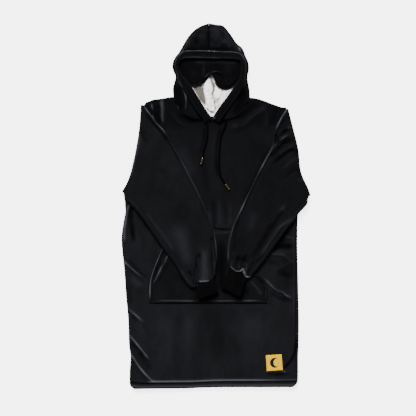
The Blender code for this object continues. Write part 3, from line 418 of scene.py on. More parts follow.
def nearest(x, y, line):
    """Distance to a line, side of it (above 0 is left of travel) and share along it."""
    steps = np.hypot(*np.diff(line, axis=0).T)
    gone = np.concatenate([[0.0], np.cumsum(steps)])
    best, side, share = np.full(x.shape, 1e9), np.zeros(x.shape), np.zeros(x.shape)
    for k in range(len(line) - 1):
        dx, dy = line[k + 1] - line[k]
        t = np.clip(((x - line[k, 0]) * dx + (y - line[k, 1]) * dy) / (dx * dx + dy * dy + 1e-9), 0, 1)
        ox, oy = x - line[k, 0] - dx * t, y - line[k, 1] - dy * t
        away = np.hypot(ox, oy)
        closer = away < best
        best = np.where(closer, away, best)
        side = np.where(closer, dx * oy - dy * ox, side)
        share = np.where(closer, (gone[k] + t * steps[k]) / gone[-1], share)
    return best, side, share


def ridges(x, y, table):
    """Height, and painted highlight or painted shade on the pile, that the listed folds add: soft, uneven,
    steeper on one side.
    """
    rise, tone = np.zeros(x.shape), np.zeros(x.shape)
    for number, (height, shade, left, right, points) in enumerate(table):
        line = curve_through(points, 7 * len(points))
        reach = 2.6 * max(left, right)
        fade = min(0.5, 0.15 + 1.2 * max(left, right) / np.hypot(*np.diff(line, axis=0).T).sum())
        low, high = line.min(axis=0) - reach, line.max(axis=0) + reach
        near = (x > low[0]) & (x < high[0]) & (y > low[1]) & (y < high[1])
        if not near.any():
            continue
        away, side, share = nearest(x[near], y[near], line)
        half = np.where(side > 0, left, right) * (1 + 0.15 * np.sin(share * 9 + number))
        ends = ease(share / fade) * ease((1 - share) / fade)
        uneven = ends * (1 + 0.18 * min(1, 5 / min(left, right)) * np.sin(share * 13 + number * 2.4))
        rise[near] += height * uneven * np.exp(-(away / half) ** 2)
        # painted highlight (+) or painted shade (-) along the fold
        narrow = np.minimum(half, 1.3 * min(left, right))
        tone[near] += shade * uneven * np.exp(-(away / narrow) ** 2)
    return rise, tone


def set_painted_light(made, tone, painted_area_shade=0.0):
    """Stores painted light where the cloth shows: painted highlight and shade along folds, and painted shade
    over whole areas.
    """
    for name, field in (("painted_light", np.clip(tone, -1, 1)), ("painted_area_shade", np.broadcast_to(painted_area_shade, tone.shape))):
        values = np.zeros(len(made.data.vertices))
        values[:tone.size] = field.ravel()
        made.data.attributes.new(name, "FLOAT", "POINT").data.foreach_set("value", values)
    return made


def front_painted_shade(x, y):
    """Painted shade: the chest and shoulders are painted darker than the skirt below the pocket."""
    return 0.02 + 0.42 * ease((y + 110) / 170) + 0.34 * ease((y - 270) / 60) + 0 * x


def depth_inside(x, y, outline):
    """Distance to a closed outline, above 0 inside it."""
    line = np.vstack([outline, outline[:1]])
    away = nearest(x, y, line)[0]
    inside = np.zeros(x.shape, bool)
    for (ax, ay), (bx, by) in zip(line[:-1], line[1:]):
        if ay != by:
            inside ^= ((ay > y) != (by > y)) & (x < (bx - ax) * (y - ay) / (by - ay) + ax)
    return np.where(inside, away, -away)


def node(tree, kind, inputs=None, output=0, **settings):
    """One shader node: its settings, then what its inputs hold or are fed by. Gives back one of its outputs."""
    made = tree.nodes.new("ShaderNode" + kind)
    for name, value in settings.items():
        setattr(made, name, value)
    for key, value in (inputs or {}).items():
        if isinstance(value, bpy.types.NodeSocket):
            tree.links.new(value, made.inputs[key])
        else:
            made.inputs[key].default_value = value
    return made.outputs[output] if made.outputs else None


# a soft step between two values of a pattern
SOFT = {"interpolation_type": "SMOOTHSTEP"}


def new_material(name):
    """An empty material and its tree."""
    made = bpy.data.materials.new(name)
    made.use_nodes = True
    made.node_tree.nodes.clear()
    return made, made.node_tree


def finish_material(tree, layers, height, strength, distance, **constants):
    """Colour laid on in layers of share and colour, a bump, and the surface's constant values."""
    colour = layers[0]
    for share, over in layers[1:]:
        colour = node(tree, "Mix", {0: share, 6: colour, 7: over}, 2, data_type="RGBA")
    bump = node(tree, "Bump", {"Height": height, "Strength": strength, "Distance": distance})
    values = {name.replace("_", " "): value for name, value in constants.items()}
    shader = node(tree, "BsdfPrincipled", {"Base Color": colour, "Normal": bump, **values})
    node(tree, "OutputMaterial", {"Surface": shader})


# pale: colour of the pile clumps and of the painted highlight; rim: colour of the painted sheen
def velour(name, dark, light, pale="#3A3B41", rim="#303138", sheen=0.03):
    """Velour fleece of polyester, knitted in loops and sheared to a short cut pile.

    It is dull and near black, cloudy where a hand has stroked it, with a painted highlight on crests, painted
    shade in creases and over whole areas, and a painted sheen where seen edge-on.
    """
    made, tree = new_material(name)
    place = node(tree, "TexCoord", output="Object")
    lengthways = node(tree, "Mapping", {"Vector": place, "Scale": (1.3, 0.6, 1.0)})
    # areas where the pile lies another way, 110 mm across and longer up and down the cloth
    broad = node(tree, "TexNoise", {"Vector": lengthways, "Scale": 1000 / 110, "Distortion": 0.4})
    broad = node(tree, "MapRange", {"Value": broad, "From Min": 0.22, "From Max": 0.78}, **SOFT)
    # smaller finger marks in the nap, 34 mm
    marks = node(tree, "TexNoise", {"Vector": lengthways, "Scale": 1000 / 34, "Distortion": 0.3})
    marks = node(tree, "MapRange", {"Value": marks, "From Min": 0.25, "From Max": 0.75}, **SOFT)
    marked = node(tree, "Mix", {0: marks, 6: paint(dark), 7: paint(light)}, 2, data_type="RGBA")
    # clumps of pile, drawn 5 mm instead of 1.5 mm so that they survive at this distance
    clumps = node(tree, "TexNoise", {"Vector": place, "Scale": 1000 / 5, "Roughness": 0.6})
    clumped = node(tree, "Mix", {0: clumps, 6: paint("#020203"), 7: paint(pale)}, 2, data_type="RGBA")
    # painted shade over whole areas, stored on the mesh
    painted_area_shade = node(tree, "Attribute", output="Fac", attribute_name="painted_area_shade")
    # painted sheen: paler where the face is seen edge-on
    facing = node(tree, "LayerWeight", {"Blend": 0.5}, "Facing")
    painted_sheen = node(tree, "MapRange", {"Value": facing, "From Min": 0.4}, **SOFT)
    # painted light stored on the mesh: below 0 painted shade, above 0 painted highlight
    light_tone = node(tree, "Attribute", output="Fac", attribute_name="painted_light")
    closed = node(tree, "MapRange", {"Value": light_tone, "From Max": -1.0})
    opened = node(tree, "MapRange", {"Value": light_tone}, **SOFT)
    layers = [
        paint(dark), (broad, paint(light)), (0.45, marked), (0.1, clumped),
        # painted shade over whole areas, then a painted sheen, paler, where the cloth is seen edge-on along a
        # fold
        (painted_area_shade, paint("#020203")), (painted_sheen, paint(rim)),
        # painted shade in a crease (closed) and a painted highlight on a crest (opened)
        (closed, paint("#010102")), (opened, paint(pale)),
    ]
    finish_material(
        tree, layers, clumps, 0.3, 0.0008, Roughness=0.92, Specular_IOR_Level=0.04,
        Sheen_Weight=sheen, Sheen_Roughness=0.35, Sheen_Tint=paint("#B9BAC0"))
    return made


def rib_knit(name):
    """Cotton and elastane knitted in a two-by-two rib: matt, the hollows between the ribs quite black."""
    made, tree = new_material(name)
    place = node(tree, "TexCoord", output="Object")
    # knitted loops, drawn 2.4 mm instead of 1.2 mm so that they survive at this distance
    loops = node(tree, "TexVoronoi", {"Vector": place, "Scale": 1000 / 2.4})
    # a little lint and wear, 18 mm patches
    wear = node(tree, "TexNoise", {"Vector": place, "Scale": 1000 / 18})
    wear = node(tree, "MapRange", {"Value": wear, "From Min": 0.35, "From Max": 0.7}, **SOFT)
    finish_material(
        tree, [paint("#020202"), (wear, paint("#040404"))], loops, 0.4, 0.0006, Roughness=0.96,
        Specular_IOR_Level=0.03, Sheen_Weight=0.008, Sheen_Roughness=0.5, Sheen_Tint=paint("#8A8A8E"))
    return made


def sherpa(name):
    """White polyester sherpa, knitted and tumbled into curled tufts: creamy white, with painted grey shade in
    its hollows and a painted highlight on its ridges.
    """
    made, tree = new_material(name)
    place = node(tree, "TexCoord", output="Object")
    # curled tufts, 6 mm across, with painted shade in the gaps between them
    curls = node(tree, "TexVoronoi", {"Vector": place, "Scale": 1000 / 6})
    curls = node(tree, "MapRange", {"Value": curls, "From Min": 0.25, "From Max": 0.75}, **SOFT)
    # loose fibres over the tufts, drawn 3 mm instead of 0.5 mm
    fluff = node(tree, "TexNoise", {"Vector": place, "Scale": 1000 / 3, "Detail": 3.0, "Roughness": 0.6})
    fibres = node(tree, "MapRange", {"Value": fluff, "From Min": 0.3, "From Max": 0.7}, **SOFT)
    # painted grey shade in creases and painted highlight on ridges, stored on the mesh
    light_tone = node(tree, "Attribute", output="Fac", attribute_name="painted_light")
    closed = node(tree, "MapRange", {"Value": light_tone, "From Max": -1.0})
    opened = node(tree, "MapRange", {"Value": light_tone}, **SOFT)
    layers = [paint("#FFFDF8"), (curls, paint("#E6E2DA")), (fibres, paint("#FBF8F2")),
              (closed, paint("#4A453F")), (opened, paint("#FFFFFF"))]
    finish_material(
        tree, layers, fluff, 0.6, 0.0012, Roughness=0.97, Specular_IOR_Level=0.05,
        Sheen_Weight=0.4, Sheen_Roughness=0.6, Sheen_Tint=paint("#FFFFFF"))
    return made


def braid(name):
    """Polyester yarn braided round a core: a dull black cord on which the crossing strands just show."""
    made, tree = new_material(name)
    place = node(tree, "TexCoord", output="Object")
    slant = node(tree, "Mapping", {"Vector": place, "Rotation": (0.0, 0.0, 0.7)})
    # braided strands crossing the cord, drawn 2 mm instead of 1 mm
    strands = node(tree, "TexWave", {
        "Vector": slant, "Scale": 1000 / 2 / 6.28, "Distortion": 1.5, "Detail": 1.0}, "Fac")
    finish_material(
        tree, [paint("#010101"), (strands, paint("#030303"))], strands, 0.5, 0.0006, Roughness=0.9,
        Specular_IOR_Level=0.02, Sheen_Weight=0.0, Sheen_Roughness=0.4, Sheen_Tint=paint("#9A9AA0"))
    return made


def brass_metal(name):
    """Brass tube, drawn and then dulled by handling: a brown metal with one narrow gleam along it."""
    made, tree = new_material(name)
    place = node(tree, "TexCoord", output="Object")
    along = node(tree, "Mapping", {"Vector": place, "Scale": (1.0, 0.15, 1.0)})
    # fine drawing marks along the tube, drawn 1.2 mm instead of 0.2 mm
    marks = node(tree, "TexNoise", {"Vector": along, "Scale": 1000 / 1.2, "Roughness": 0.6})
    # tarnish in patches of 9 mm
    tarnish = node(tree, "TexNoise", {"Vector": along, "Scale": 1000 / 9})
    tarnish = node(tree, "MapRange", {"Value": tarnish, "From Min": 0.35, "From Max": 0.75}, **SOFT)
    finish_material(
        tree, [paint("#7A6A46"), (tarnish, paint("#3A3120"))], marks, 0.12, 0.0003, Roughness=0.3, Metallic=1.0)
    return made


def twill(name, dark, light, sheen=0.0):
    """Yarn-dyed twill, woven in slanted lines: flat colour with fine diagonal ribs and slight soiling."""
    made, tree = new_material(name)
    place = node(tree, "TexCoord", output="Object")
    slant = node(tree, "Mapping", {"Vector": place, "Rotation": (0.0, 0.0, 0.785)})
    # slanted weave lines, drawn 1.6 mm instead of 0.8 mm
    lines = node(tree, "TexWave", {
        "Vector": slant, "Scale": 1000 / 1.6 / 6.28, "Distortion": 0.6, "Detail": 1.0}, "Fac")
    # soiling in patches of 14 mm
    soil = node(tree, "TexNoise", {"Vector": place, "Scale": 1000 / 14})
    soil = node(tree, "MapRange", {"Value": soil, "From Min": 0.3, "From Max": 0.75}, **SOFT)
    finish_material(
        tree, [paint(dark), (lines, paint(light)), (soil, paint(light))], lines, 0.3, 0.0004, Roughness=0.8,
        Specular_IOR_Level=0.1, Sheen_Weight=sheen, Sheen_Roughness=0.5, Sheen_Tint=paint(light))
    return made


def paper(name):
    """Seamless backdrop paper, calendered flat: even, matt and lit on its own, so it glows a little."""
    made, tree = new_material(name)
    place = node(tree, "TexCoord", output="Object")
    # faint unevenness, 260 mm across
    grain = node(tree, "TexNoise", {"Vector": place, "Scale": 1000 / 260})
    finish_material(
        tree, [paint("#EDEDED"), (grain, paint("#F1F1F1"))], grain, 0.02, 0.0005, Roughness=0.95,
        Specular_IOR_Level=0.05, Emission_Color=paint("#FFFFFF"), Emission_Strength=3.6)
    return made


def in_scene(name, data):
    """A new object that holds the data, in the scene."""
    made = bpy.data.objects.new(name, data)
    bpy.context.scene.collection.objects.link(made)
    return made


def add_mesh(name, points, faces, look, sharp=55):
    """A closed mesh from points in millimetres, faces turned outward."""
    points = np.asarray(points, float) * 0.001
    faces = [np.asarray(f) for f in faces]
    volume = 0.0
    for group in faces:
        a = points[group[:, 0]]
        for k in range(1, group.shape[1] - 1):
            volume += np.einsum("ij,ij->", a, np.cross(points[group[:, k]], points[group[:, k + 1]]))
    rings = [f for group in faces for f in (group if volume > 0 else group[:, ::-1]).tolist()]
    mesh = bpy.data.meshes.new(name)
    mesh.from_pydata(points.tolist(), [], rings)
    mesh.materials.append(look)
    mesh.shade_smooth()
    mesh.set_sharp_from_angle(angle=math.radians(sharp))
    made = in_scene(name, mesh)
    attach(made, "root")
    return made


def quads(index):
    """Four-sided faces between neighbouring points of a grid."""
    return np.stack([index[:-1, :-1], index[:-1, 1:], index[1:, 1:], index[1:, :-1]], -1).reshape(-1, 4)


def add_rings(name, rings, look, sharp=55):
    """A closed mesh through rings of points, flat at both ends."""
    rings = np.array(rings)
    count, around = rings.shape[:2]
    index = np.arange(count * around).reshape(count, around)
    index = np.hstack([index, index[:, :1]])
    faces = [quads(index), index[:1, :around][:, ::-1], index[-1:, :around]]
    return add_mesh(name, rings.reshape(-1, 3), faces, look, sharp)


def joined(fine, coarse, step):
    """Rim faces between a fine edge and the coarser edge under it."""
    faces = []
    for k in range(len(coarse) - 1):
        faces.append(np.concatenate([[coarse[k]], [coarse[k + 1]], fine[k * step:(k + 1) * step + 1][::-1]]))
    return np.array(faces)


def cloth(name, outer, inner, look, tube=False, step=1):
    """Closed wall of cloth: a fine face that shows and, step times coarser, the face under it."""
    rows, columns = outer.shape[:2]
    assert (rows - 1) % step == 0 and (columns if tube else columns - 1) % step == 0, (name, rows, columns)
    inner = inner[::step, ::step]
    top = np.arange(rows * columns).reshape(rows, columns)
    low = np.arange(inner.shape[0] * inner.shape[1]).reshape(inner.shape[:2]) + rows * columns
    if tube:
        top, low = np.hstack([top, top[:, :1]]), np.hstack([low, low[:, :1]])
    rims = [(top[0], low[0]), (top[-1][::-1], low[-1][::-1])]
    if not tube:
        rims += [(top[:, -1], low[:, -1]), (top[::-1, 0], low[::-1, 0])]
    faces = [quads(top), quads(low)[:, ::-1]]
    faces += [joined(a, b, step) for a, b in rims]
    points = np.vstack([outer.reshape(-1, 3), inner.reshape(-1, 3)])
    return add_mesh(name, points, faces, look)


def layer(name, x, y, top, low, look):
    """Cloth between two faces at the same places."""
    return cloth(name, np.stack([x, y, top], -1), np.stack([x, y, low], -1), look)


def sides_at(y):
    """Left and right body edges; beside a sleeve they stop one wall short of its fold."""
    left, right = read(BODY_SIDES, y, 1), read(BODY_SIDES, y, 2)
    for table, bow, side in ((RIGHT_SLEEVE, RIGHT_BOW, 1), (LEFT_SLEEVE, LEFT_BOW, -1)):
        neck_x, neck_y, hem_x, hem_y = table[0]
        share = (neck_y - y) / (neck_y - hem_y)
        stop = neck_x + (hem_x - neck_x) * share + side * (read(bow, share, 1) + WALL + 2 * SEAM)
        beside = (share >= 0) & (share <= 1)
        if side > 0:
            left = np.where(beside, np.maximum(left, stop), left)
        else:
            right = np.where(beside, np.minimum(right, stop), right)
    return left, right


def sleeve_outline(table):
    """Closed line round a folded sleeve as it lies."""
    line = curve_through(table, 60)
    return np.vstack([line[:, :2], line[::-1, 2:]])


OUTLINES = [sleeve_outline(RIGHT_SLEEVE), sleeve_outline(LEFT_SLEEVE)]


def pocket_share(x, y):
    """1 under the pocket, easing to 0 beside it."""
    low, high = POCKET_SIDES[0][0], POCKET_SIDES[-1][0]
    left, right = read(POCKET_SIDES, y, 1), read(POCKET_SIDES, y, 2)
    away = np.maximum.reduce([left - x, x - right, low - y, y - high])
    return 1 - ease((away - 6) / 22)


def front_height(x, y):
    """Outer face of the front: folds, slack in the cloth, the turned hem and its stitched groove."""
    x, y = np.asarray(x, float), np.asarray(y, float)
    under = np.zeros(x.shape)
    for outline in OUTLINES:
        under = np.maximum(under, ease((depth_inside(x, y, outline) + 4) / 12))
    slack = 0.9 * cloud(x * 1.5, y * 0.7, 95, 1) + 0.45 * cloud(x * 1.4, y * 0.8, 38, 2)
    slack = slack + 0.16 * cloud(x, y, 14, 3)
    folds = ridges(x, y, FRONT_FOLDS)[0] * (1 - pocket_share(x, y))
    height = FRONT + (folds + slack) * (1 - under)
    above = y - read(HEM_LINE, x, 1)
    near_hem = np.exp(-((above - 14) / 22) ** 2)
    height += 1.6 * (1 - ease((above - 16) / 4))
    height -= 2.0 * np.exp(-((above - HEM_GROOVE) / 2.3) ** 2)
    height += 2.4 * np.exp(-((above - HEM_RIDGE) / 5) ** 2) * (1 - 0.5 * ease((x - 120) / 150))
    height += 0.5 * near_hem * cloud(x, y * 0.2, 16, 5)
    return height


def front_tone(x, y):
    """Painted light on the front: the folds' tones, a painted highlight on the hem's ridge and band, painted
    shade in its groove and along its lower edge.
    """
    above = y - read(HEM_LINE, x, 1)
    fade = 1 - 0.6 * ease((x - 120) / 150)
    tone = ridges(x, y, FRONT_FOLDS)[1]
    tone += 0.95 * np.exp(-((above - HEM_RIDGE) / 3.6) ** 2) * fade * ease((x + 270) / 30)
    tone -= 0.7 * np.exp(-((above - HEM_GROOVE) / 3.0) ** 2)
    tone += 0.46 * np.exp(-((above - 8.5) / 4.5) ** 2)
    return tone - 0.5 * np.exp(-((above - 0.5) / 2.5) ** 2)


def body_rows(count):
    """Share of the way from hem to shoulder, and turn over the shoulder's folded edge."""
    # closer rows over the hem, in millimetres above its edge
    low = np.array([0, 1, 2.4, 4.5, 8, 12, 15, 16.5, 18, 19.2, 20.4, 21.6, 23, 25, 27, 29.5, 33, 38, 44])
    share = np.concatenate([low / BODY_LENGTH, np.linspace(50 / BODY_LENGTH, 0.992, count)])
    turn = np.radians(np.arange(90, -1, -15))
    return (np.concatenate([share, np.ones(len(turn))])[:, None],
            np.concatenate([np.full(len(share), math.pi / 2), turn])[:, None],
            np.concatenate([np.zeros(len(share)), np.ones(len(turn))])[:, None] > 0.5)


def hem_rounding(share):
    """1 at the very hem, easing to 0 over the first 3 mm."""
    return (1 - np.clip(share * BODY_LENGTH / 3.0, 0, 1)) ** 2


def side_wrap(y):
    """How far the back panel comes round onto the front at the side seam."""
    return 7 + (SIDE_WRAP - 7) * (1 - ease((y + 60) / 40))


def seam_depth(y):
    """The sewn side seam lies deep under the sleeve and shallow by the hem."""
    return 0.3 + 1.5 * ease((y + 430) / 80)


def front_body(look):
    """Front panel: its left fold, its flat and the folded shoulder, open at the neck."""
    arcs = np.radians(np.arange(0, 91, 15))
    flats = np.concatenate([np.linspace(0.006, 0.985, 214), [0.99, 0.994, 0.997, 1.0]])
    value = np.concatenate([arcs, flats])[None, :]
    is_arc = (np.arange(value.shape[1]) < len(arcs))[None, :]
    across = np.where(is_arc, 0.0, value)
    share, turn, over = body_rows(347)
    low = EDGE + SEAM / 2
    neck = ease((across - 0.19) / 0.02) * (1 - ease((across - 0.755) / 0.02))
    left, right = sides_at(np.array(385.0))
    line = left + (right - left) * across
    top = read(FRONT_TOP, line, 1)
    y = read(HEM_LINE, line, 1) * (1 - share) + top * share
    drop = np.where(neck > 0.999, 4.0, EDGE * (1 - neck)) * (1 - np.cos(turn))
    y_out = np.where(over, y - drop, y)
    folded_in = (EDGE - (EDGE - WALL) * np.cos(turn)) * (1 - neck)
    drop_in = np.where(neck > 0.999, 4.0 * (1 - np.cos(turn)), folded_in)
    y_in = np.where(over, y - drop_in, y)
    lift = np.where(over, np.sin(turn) + (1 - np.sin(turn)) * neck, 1.0)
    left, right = sides_at(y_out)
    end = right - side_wrap(y_out) - SEAM
    x_out = np.where(is_arc, left + EDGE * (1 - np.cos(value)), left + EDGE + (end - left - EDGE) * value)
    x_in = np.where(is_arc, left + EDGE - (EDGE - WALL) * np.cos(value), x_out)
    level = np.where(is_arc, np.sin(value), 1.0) * lift
    height = front_height(x_out, y_out)
    height -= seam_depth(y_out) * np.where(is_arc, 0.0, np.exp(-((end - x_out) / 3.2) ** 2))
    height -= 2.0 * hem_rounding(share)
    shape = np.broadcast(x_out, y_out, level).shape
    outer = np.stack([np.broadcast_to(a, shape) for a in (x_out, y_out, low + (height - low) * level)], -1)
    under = height - WALL + 2.6 * hem_rounding(share) * (share < 1)
    inner = np.stack([np.broadcast_to(a, shape) for a in (x_in, y_in, low + (under - low) * level)], -1)
    # painted light along the folds and hem, and painted shade over the chest and shoulders
    return set_painted_light(cloth("front_body_cloth", outer, inner, look, step=4), front_tone(x_out, y_out + 0 * x_out),
                   front_painted_shade(x_out, y_out))


def back_body(look):
    """Back panel on the floor; on the wearer's left it folds up and round to the side seam."""
    flats = np.linspace(0, 1, 60)
    # 0 left fold, 1 flat on the floor, 2 and 3 right fold below and above its middle, 4 wrap to the seam
    kinds = np.repeat(np.arange(5.0), [6, len(flats), 6, 6, 8])[None, :]
    value = np.concatenate([
        np.radians(np.arange(0, 90, 15)), flats, np.radians(np.arange(75, -1, -15)),
        np.radians(np.arange(15, 91, 15)), np.array([0.12, 0.3, 0.5, 0.7, 0.82, 0.9, 0.95, 1.0])])[None, :]
    across = np.select([kinds == 0, kinds == 1], [0.0, value], 1.0)
    share, turn, over = body_rows(120)
    low = EDGE - SEAM / 2
    opened = ease((across - 0.2) / 0.03) * (1 - ease((across - 0.72) / 0.03)) + ease((across - 0.93) / 0.05)
    opened = np.minimum(1.0, opened)
    left, right = sides_at(np.array(385.0))
    line = left + (right - left) * across
    y = read(HEM_LINE, line, 1) * (1 - share) + read(BACK_TOP, line, 1) * share
    y_out = np.where(over, y - EDGE * (1 - np.cos(turn)), y)
    y_in = np.where(over & (opened < 0.5), y - EDGE + (EDGE - WALL) * np.cos(turn), y_out)
    lift = np.where(over & (opened < 0.5), np.sin(turn), 1.0)
    left, right = sides_at(y_out)
    wrap = side_wrap(y_out)
    top = front_height(right - EDGE - 1 + 0 * value, y_out)
    cos, sin = np.cos(value), np.sin(value)
    wrap_x = right - EDGE - (wrap - EDGE) * value
    wrap_z = front_height(np.where(kinds == 4, wrap_x, right - EDGE), y_out)
    wrap_z = wrap_z - seam_depth(y_out) * np.exp(-((1 - value) * (wrap - EDGE) / 3.2) ** 2)
    spans = [kinds == 0, kinds == 1, kinds == 2, kinds == 3]
    x_out = np.select(spans, [left + EDGE * (1 - cos), left + EDGE + (right - left - 2 * EDGE) * value,
                              right - EDGE * (1 - cos), right - EDGE * (1 - cos)], wrap_x)
    x_in = np.select(spans, [left + EDGE - (EDGE - WALL) * cos, x_out,
                             right - EDGE + (EDGE - WALL) * cos, right - EDGE + (EDGE - WALL) * cos], wrap_x)
    z_out = np.select(spans, [low * (1 - sin * lift), low * (1 - lift) + 0 * value,
                              EDGE * (1 - sin) + 0 * lift, EDGE + (top - EDGE) * sin], wrap_z)
    z_in = np.select(spans, [low - (low - WALL) * sin * lift, low - (low - WALL) * lift + 0 * value,
                             EDGE - (EDGE - WALL) * sin + 0 * lift, EDGE + (top - EDGE - WALL) * sin],
                     wrap_z - WALL)
    shape = z_out.shape
    y_out, y_in = np.broadcast_to(y_out, shape), np.broadcast_to(y_in, shape)
    made = cloth("back_body_cloth", np.stack([x_out, y_out, z_out], -1), np.stack([x_in, y_in, z_in], -1), look)
    # painted light where the back wraps up to the side seam, and painted shade over the upper part
    return set_painted_light(made, np.where(kinds >= 3, front_tone(x_out, y_out), 0.0), front_painted_shade(x_out, y_out))


def pocket_height(x, y):
    """Outer and inner face of the pocket, and its painted highlight and shade."""
    low, high = POCKET_SIDES[0][0], POCKET_SIDES[-1][0]
    line = curve_through(POCKET_SIDES, 80)
    from_left = nearest(x, y, line[:, [1, 0]])[0]
    from_right = nearest(x, y, line[:, [2, 0]])[0]
    from_low, from_high = y - low, high - y
    floor = front_height(x, y)
    side = np.minimum(from_left, from_right)
    rim = np.minimum(side, np.minimum(from_low, from_high))
    opening = ease((y + 300) / 30) * ease((high - 20 - y) / 30)
    # hem of each slanted opening, its stitched groove and the slack lip beside it
    lip = 2.4 * np.exp(-((from_left - 8) / 9) ** 2) * np.exp(-((y + 255) / 40) ** 2)
    lip += 0.7 * np.exp(-((from_right - 8) / 9) ** 2) * np.exp(-((y + 255) / 40) ** 2)
    grooves = 1.5 * np.exp(-((side - POCKET_GROOVE) / 2.0) ** 2) * opening
    grooves += 1.3 * np.exp(-((side - 9) / 1.8) ** 2) * (1 - opening)
    grooves += 1.3 * np.exp(-((from_low - 10) / 1.8) ** 2) * ease((side - 4) / 6)
    grooves += 1.2 * np.exp(-((from_high - 9) / 1.8) ** 2)
    rise, tone = ridges(x, y, POCKET_FOLDS)
    soft = 0.6 * cloud(x, y, 46, 8) + 0.25 * cloud(x, y, 17, 9) + 0.6 * rise
    thick = 1.2 + (POCKET_CLOTH - 1.2) * ease(rim / 2.6) + soft * ease(rim / 22)
    top = floor + SEAM + thick + lip - grooves
    return top, np.minimum(floor + SEAM + lip * 0.6 - 0.8, top - 0.7), tone


def pocket(look):
    """Pouch pocket with slanted openings, its edges turned under."""
    ups = np.concatenate([np.array([0, 0.6, 1.4, 2.4, 3.6, 5, 7, 8.6, 10, 11.4, 13, 15, 18]) / POCKET_TALL,
                          np.linspace(0.08, 0.93, 70),
                          1 - np.array([16, 13, 11, 9.5, 8, 6, 4, 2.4, 1.2, 0.5, 0]) / POCKET_TALL])[:, None]
    edge = np.array([0, 0.6, 1.4, 2.4, 3.8, 5.4, 7, 8.2, 9.4, 10.8, 12.4, 14, 15.6, 17, 18.4, 20, 22, 25])
    low, high = POCKET_SIDES[0][0], POCKET_SIDES[-1][0]
    y = low + (high - low) * ups
    left, right = read(POCKET_SIDES, y, 1), read(POCKET_SIDES, y, 2)
    x = np.concatenate([left + edge, left + 25 + (right - left - 50) * np.linspace(0.02, 0.98, 64),
                        right - edge[::-1]], axis=1)
    y = np.broadcast_to(y, x.shape)
    top, low_face, tone = pocket_height(x, y)
    # painted light along the pocket's folds and edges, and painted shade over the whole pocket
    return set_painted_light(layer("kangaroo_pocket_cloth", x, y, top, low_face, look), tone, 0.5)


def sleeve_floor(share):
    """Level a sleeve lies at: on the front, then on the pocket too."""
    return FRONT + 0.5 + (POCKET_LIFT + 0.3) * ease((share - 0.05) / 0.45)


def sleeve(name, table, bow_table, folds, scallop, side, look):
    """A tube folded flat across the front; its start turns down over the armhole edge."""
    starts = np.clip(curve_through(SLEEVE_START, 13), 0, None)
    runs = np.concatenate([np.linspace(0.02, 0.985, 215), [0.989, 0.992, 0.995, 0.9975, 1.0]])
    lows, arc, ups = np.linspace(0, 1, 18), np.radians(np.arange(15, 166, 15)), np.linspace(1, 0, 120)
    across = np.concatenate([lows, np.ones(len(arc)), ups, np.zeros(len(arc))])
    turn = np.concatenate([0 * lows, arc, 0 * ups + math.pi, arc[::-1]])
    is_low, is_up = turn == 0, turn == math.pi
    sign = np.where(across > 0.5, 1.0, -1.0)
    lower_share = np.where(is_low, 1.0, np.where(is_up, 0.0, 0.5 + 0.5 * np.cos(turn)))
    half = WALL + SLEEVE_GAP / 2
    fine = curve_through(table, 2001)
    outer, inner = [], []
    for step in range(len(starts) + len(runs)):
        begin = starts[step] if step < len(starts) else None
        along = 0.0 if begin is not None else runs[step - len(starts)]
        neck_x, neck_y, hem_x, hem_y = fine[int(round(along * 2000))]
        width = math.hypot(hem_x - neck_x, hem_y - neck_y)
        ux, uy = (hem_x - neck_x) / width, (hem_y - neck_y) / width
        in_x, in_y = -uy * side, ux * side
        floor = sleeve_floor(along)
        bow = read(bow_table, across, 1) * (1 - ease(along / 0.12)) * side
        if begin is not None:
            slide = begin[2] * lower_share + begin[0] * (1 - lower_share)
        else:
            slide = 11 * (1 - ease(along / 0.3)) + read(scallop, across, 1) * ease((along - 0.86) / 0.14)
        place = half + (width - 2 * half) * across
        for radius, rings in ((half, outer), (half - WALL, inner)):
            reach = sign * radius * np.where(is_low | is_up, 0.0, np.sin(turn))
            px = neck_x + ux * (place + reach) + in_x * slide + bow
            py = neck_y + uy * (place + reach) + in_y * slide
            pz = floor + half - radius * np.cos(turn)
            if begin is not None:
                upper = min(1.0, begin[1])
                pz = np.where(is_low, pz, pz * (1 - (1 - upper) * (1 - lower_share)))
                if radius < half:
                    shift = WALL * (1 - lower_share) * (1 - ease((upper - 0.85) / 0.15))
                    px, py = px + in_x * shift, py + in_y * shift
            rings.append(np.stack([px, py, pz], -1))
    outer, inner = np.array(outer), np.array(inner)
    along = np.concatenate([np.zeros(len(starts)), runs])[:, None]
    x, y = outer[..., 0], outer[..., 1]
    rise, tone = ridges(x, y, folds)
    rise += 1.1 * cloud(x * 1.2, y * 0.8, 62, 11 + side) + 0.45 * cloud(x, y, 26, 13)
    rise += 0.15 * cloud(x, y, 12, 14)
    gather = ease((along - 0.87) / 0.1)
    rise += gather * (2.0 + 0.9 * np.sin(across * 31 + 2 * side) + 0.5 * np.sin(across * 53))
    rise *= ease(along / 0.06) * ease(across / 0.06) * ease((1 - across) / 0.06) * is_up
    wide = np.hypot(table[0][2] - table[0][0], table[0][3] - table[0][1]) * (1 - 0.7 * along)
    for from_edge in (across * wide, (1 - across) * wide):
        roll = 1.6 * np.exp(-((from_edge - 2) / 4.0) ** 2) - 1.3 * np.exp(-((from_edge - 13) / 6.0) ** 2)
        rise += roll * ease((along - 0.01) / 0.05) * is_up
    rise -= 2.4 * (1 - ease((1 - along) / 0.009)) * is_up
    outer[..., 2] += rise
    inner[..., 2] += np.where(rise > 0, rise, rise * 0.6)
    made = cloth(name, outer, inner, look, tube=True, step=4)
    # painted light along the folds, and painted shade over the whole sleeve, darker on the left sleeve
    return set_painted_light(made, tone * (is_up | (turn > 0)), 0.26 if side > 0 else 0.52)


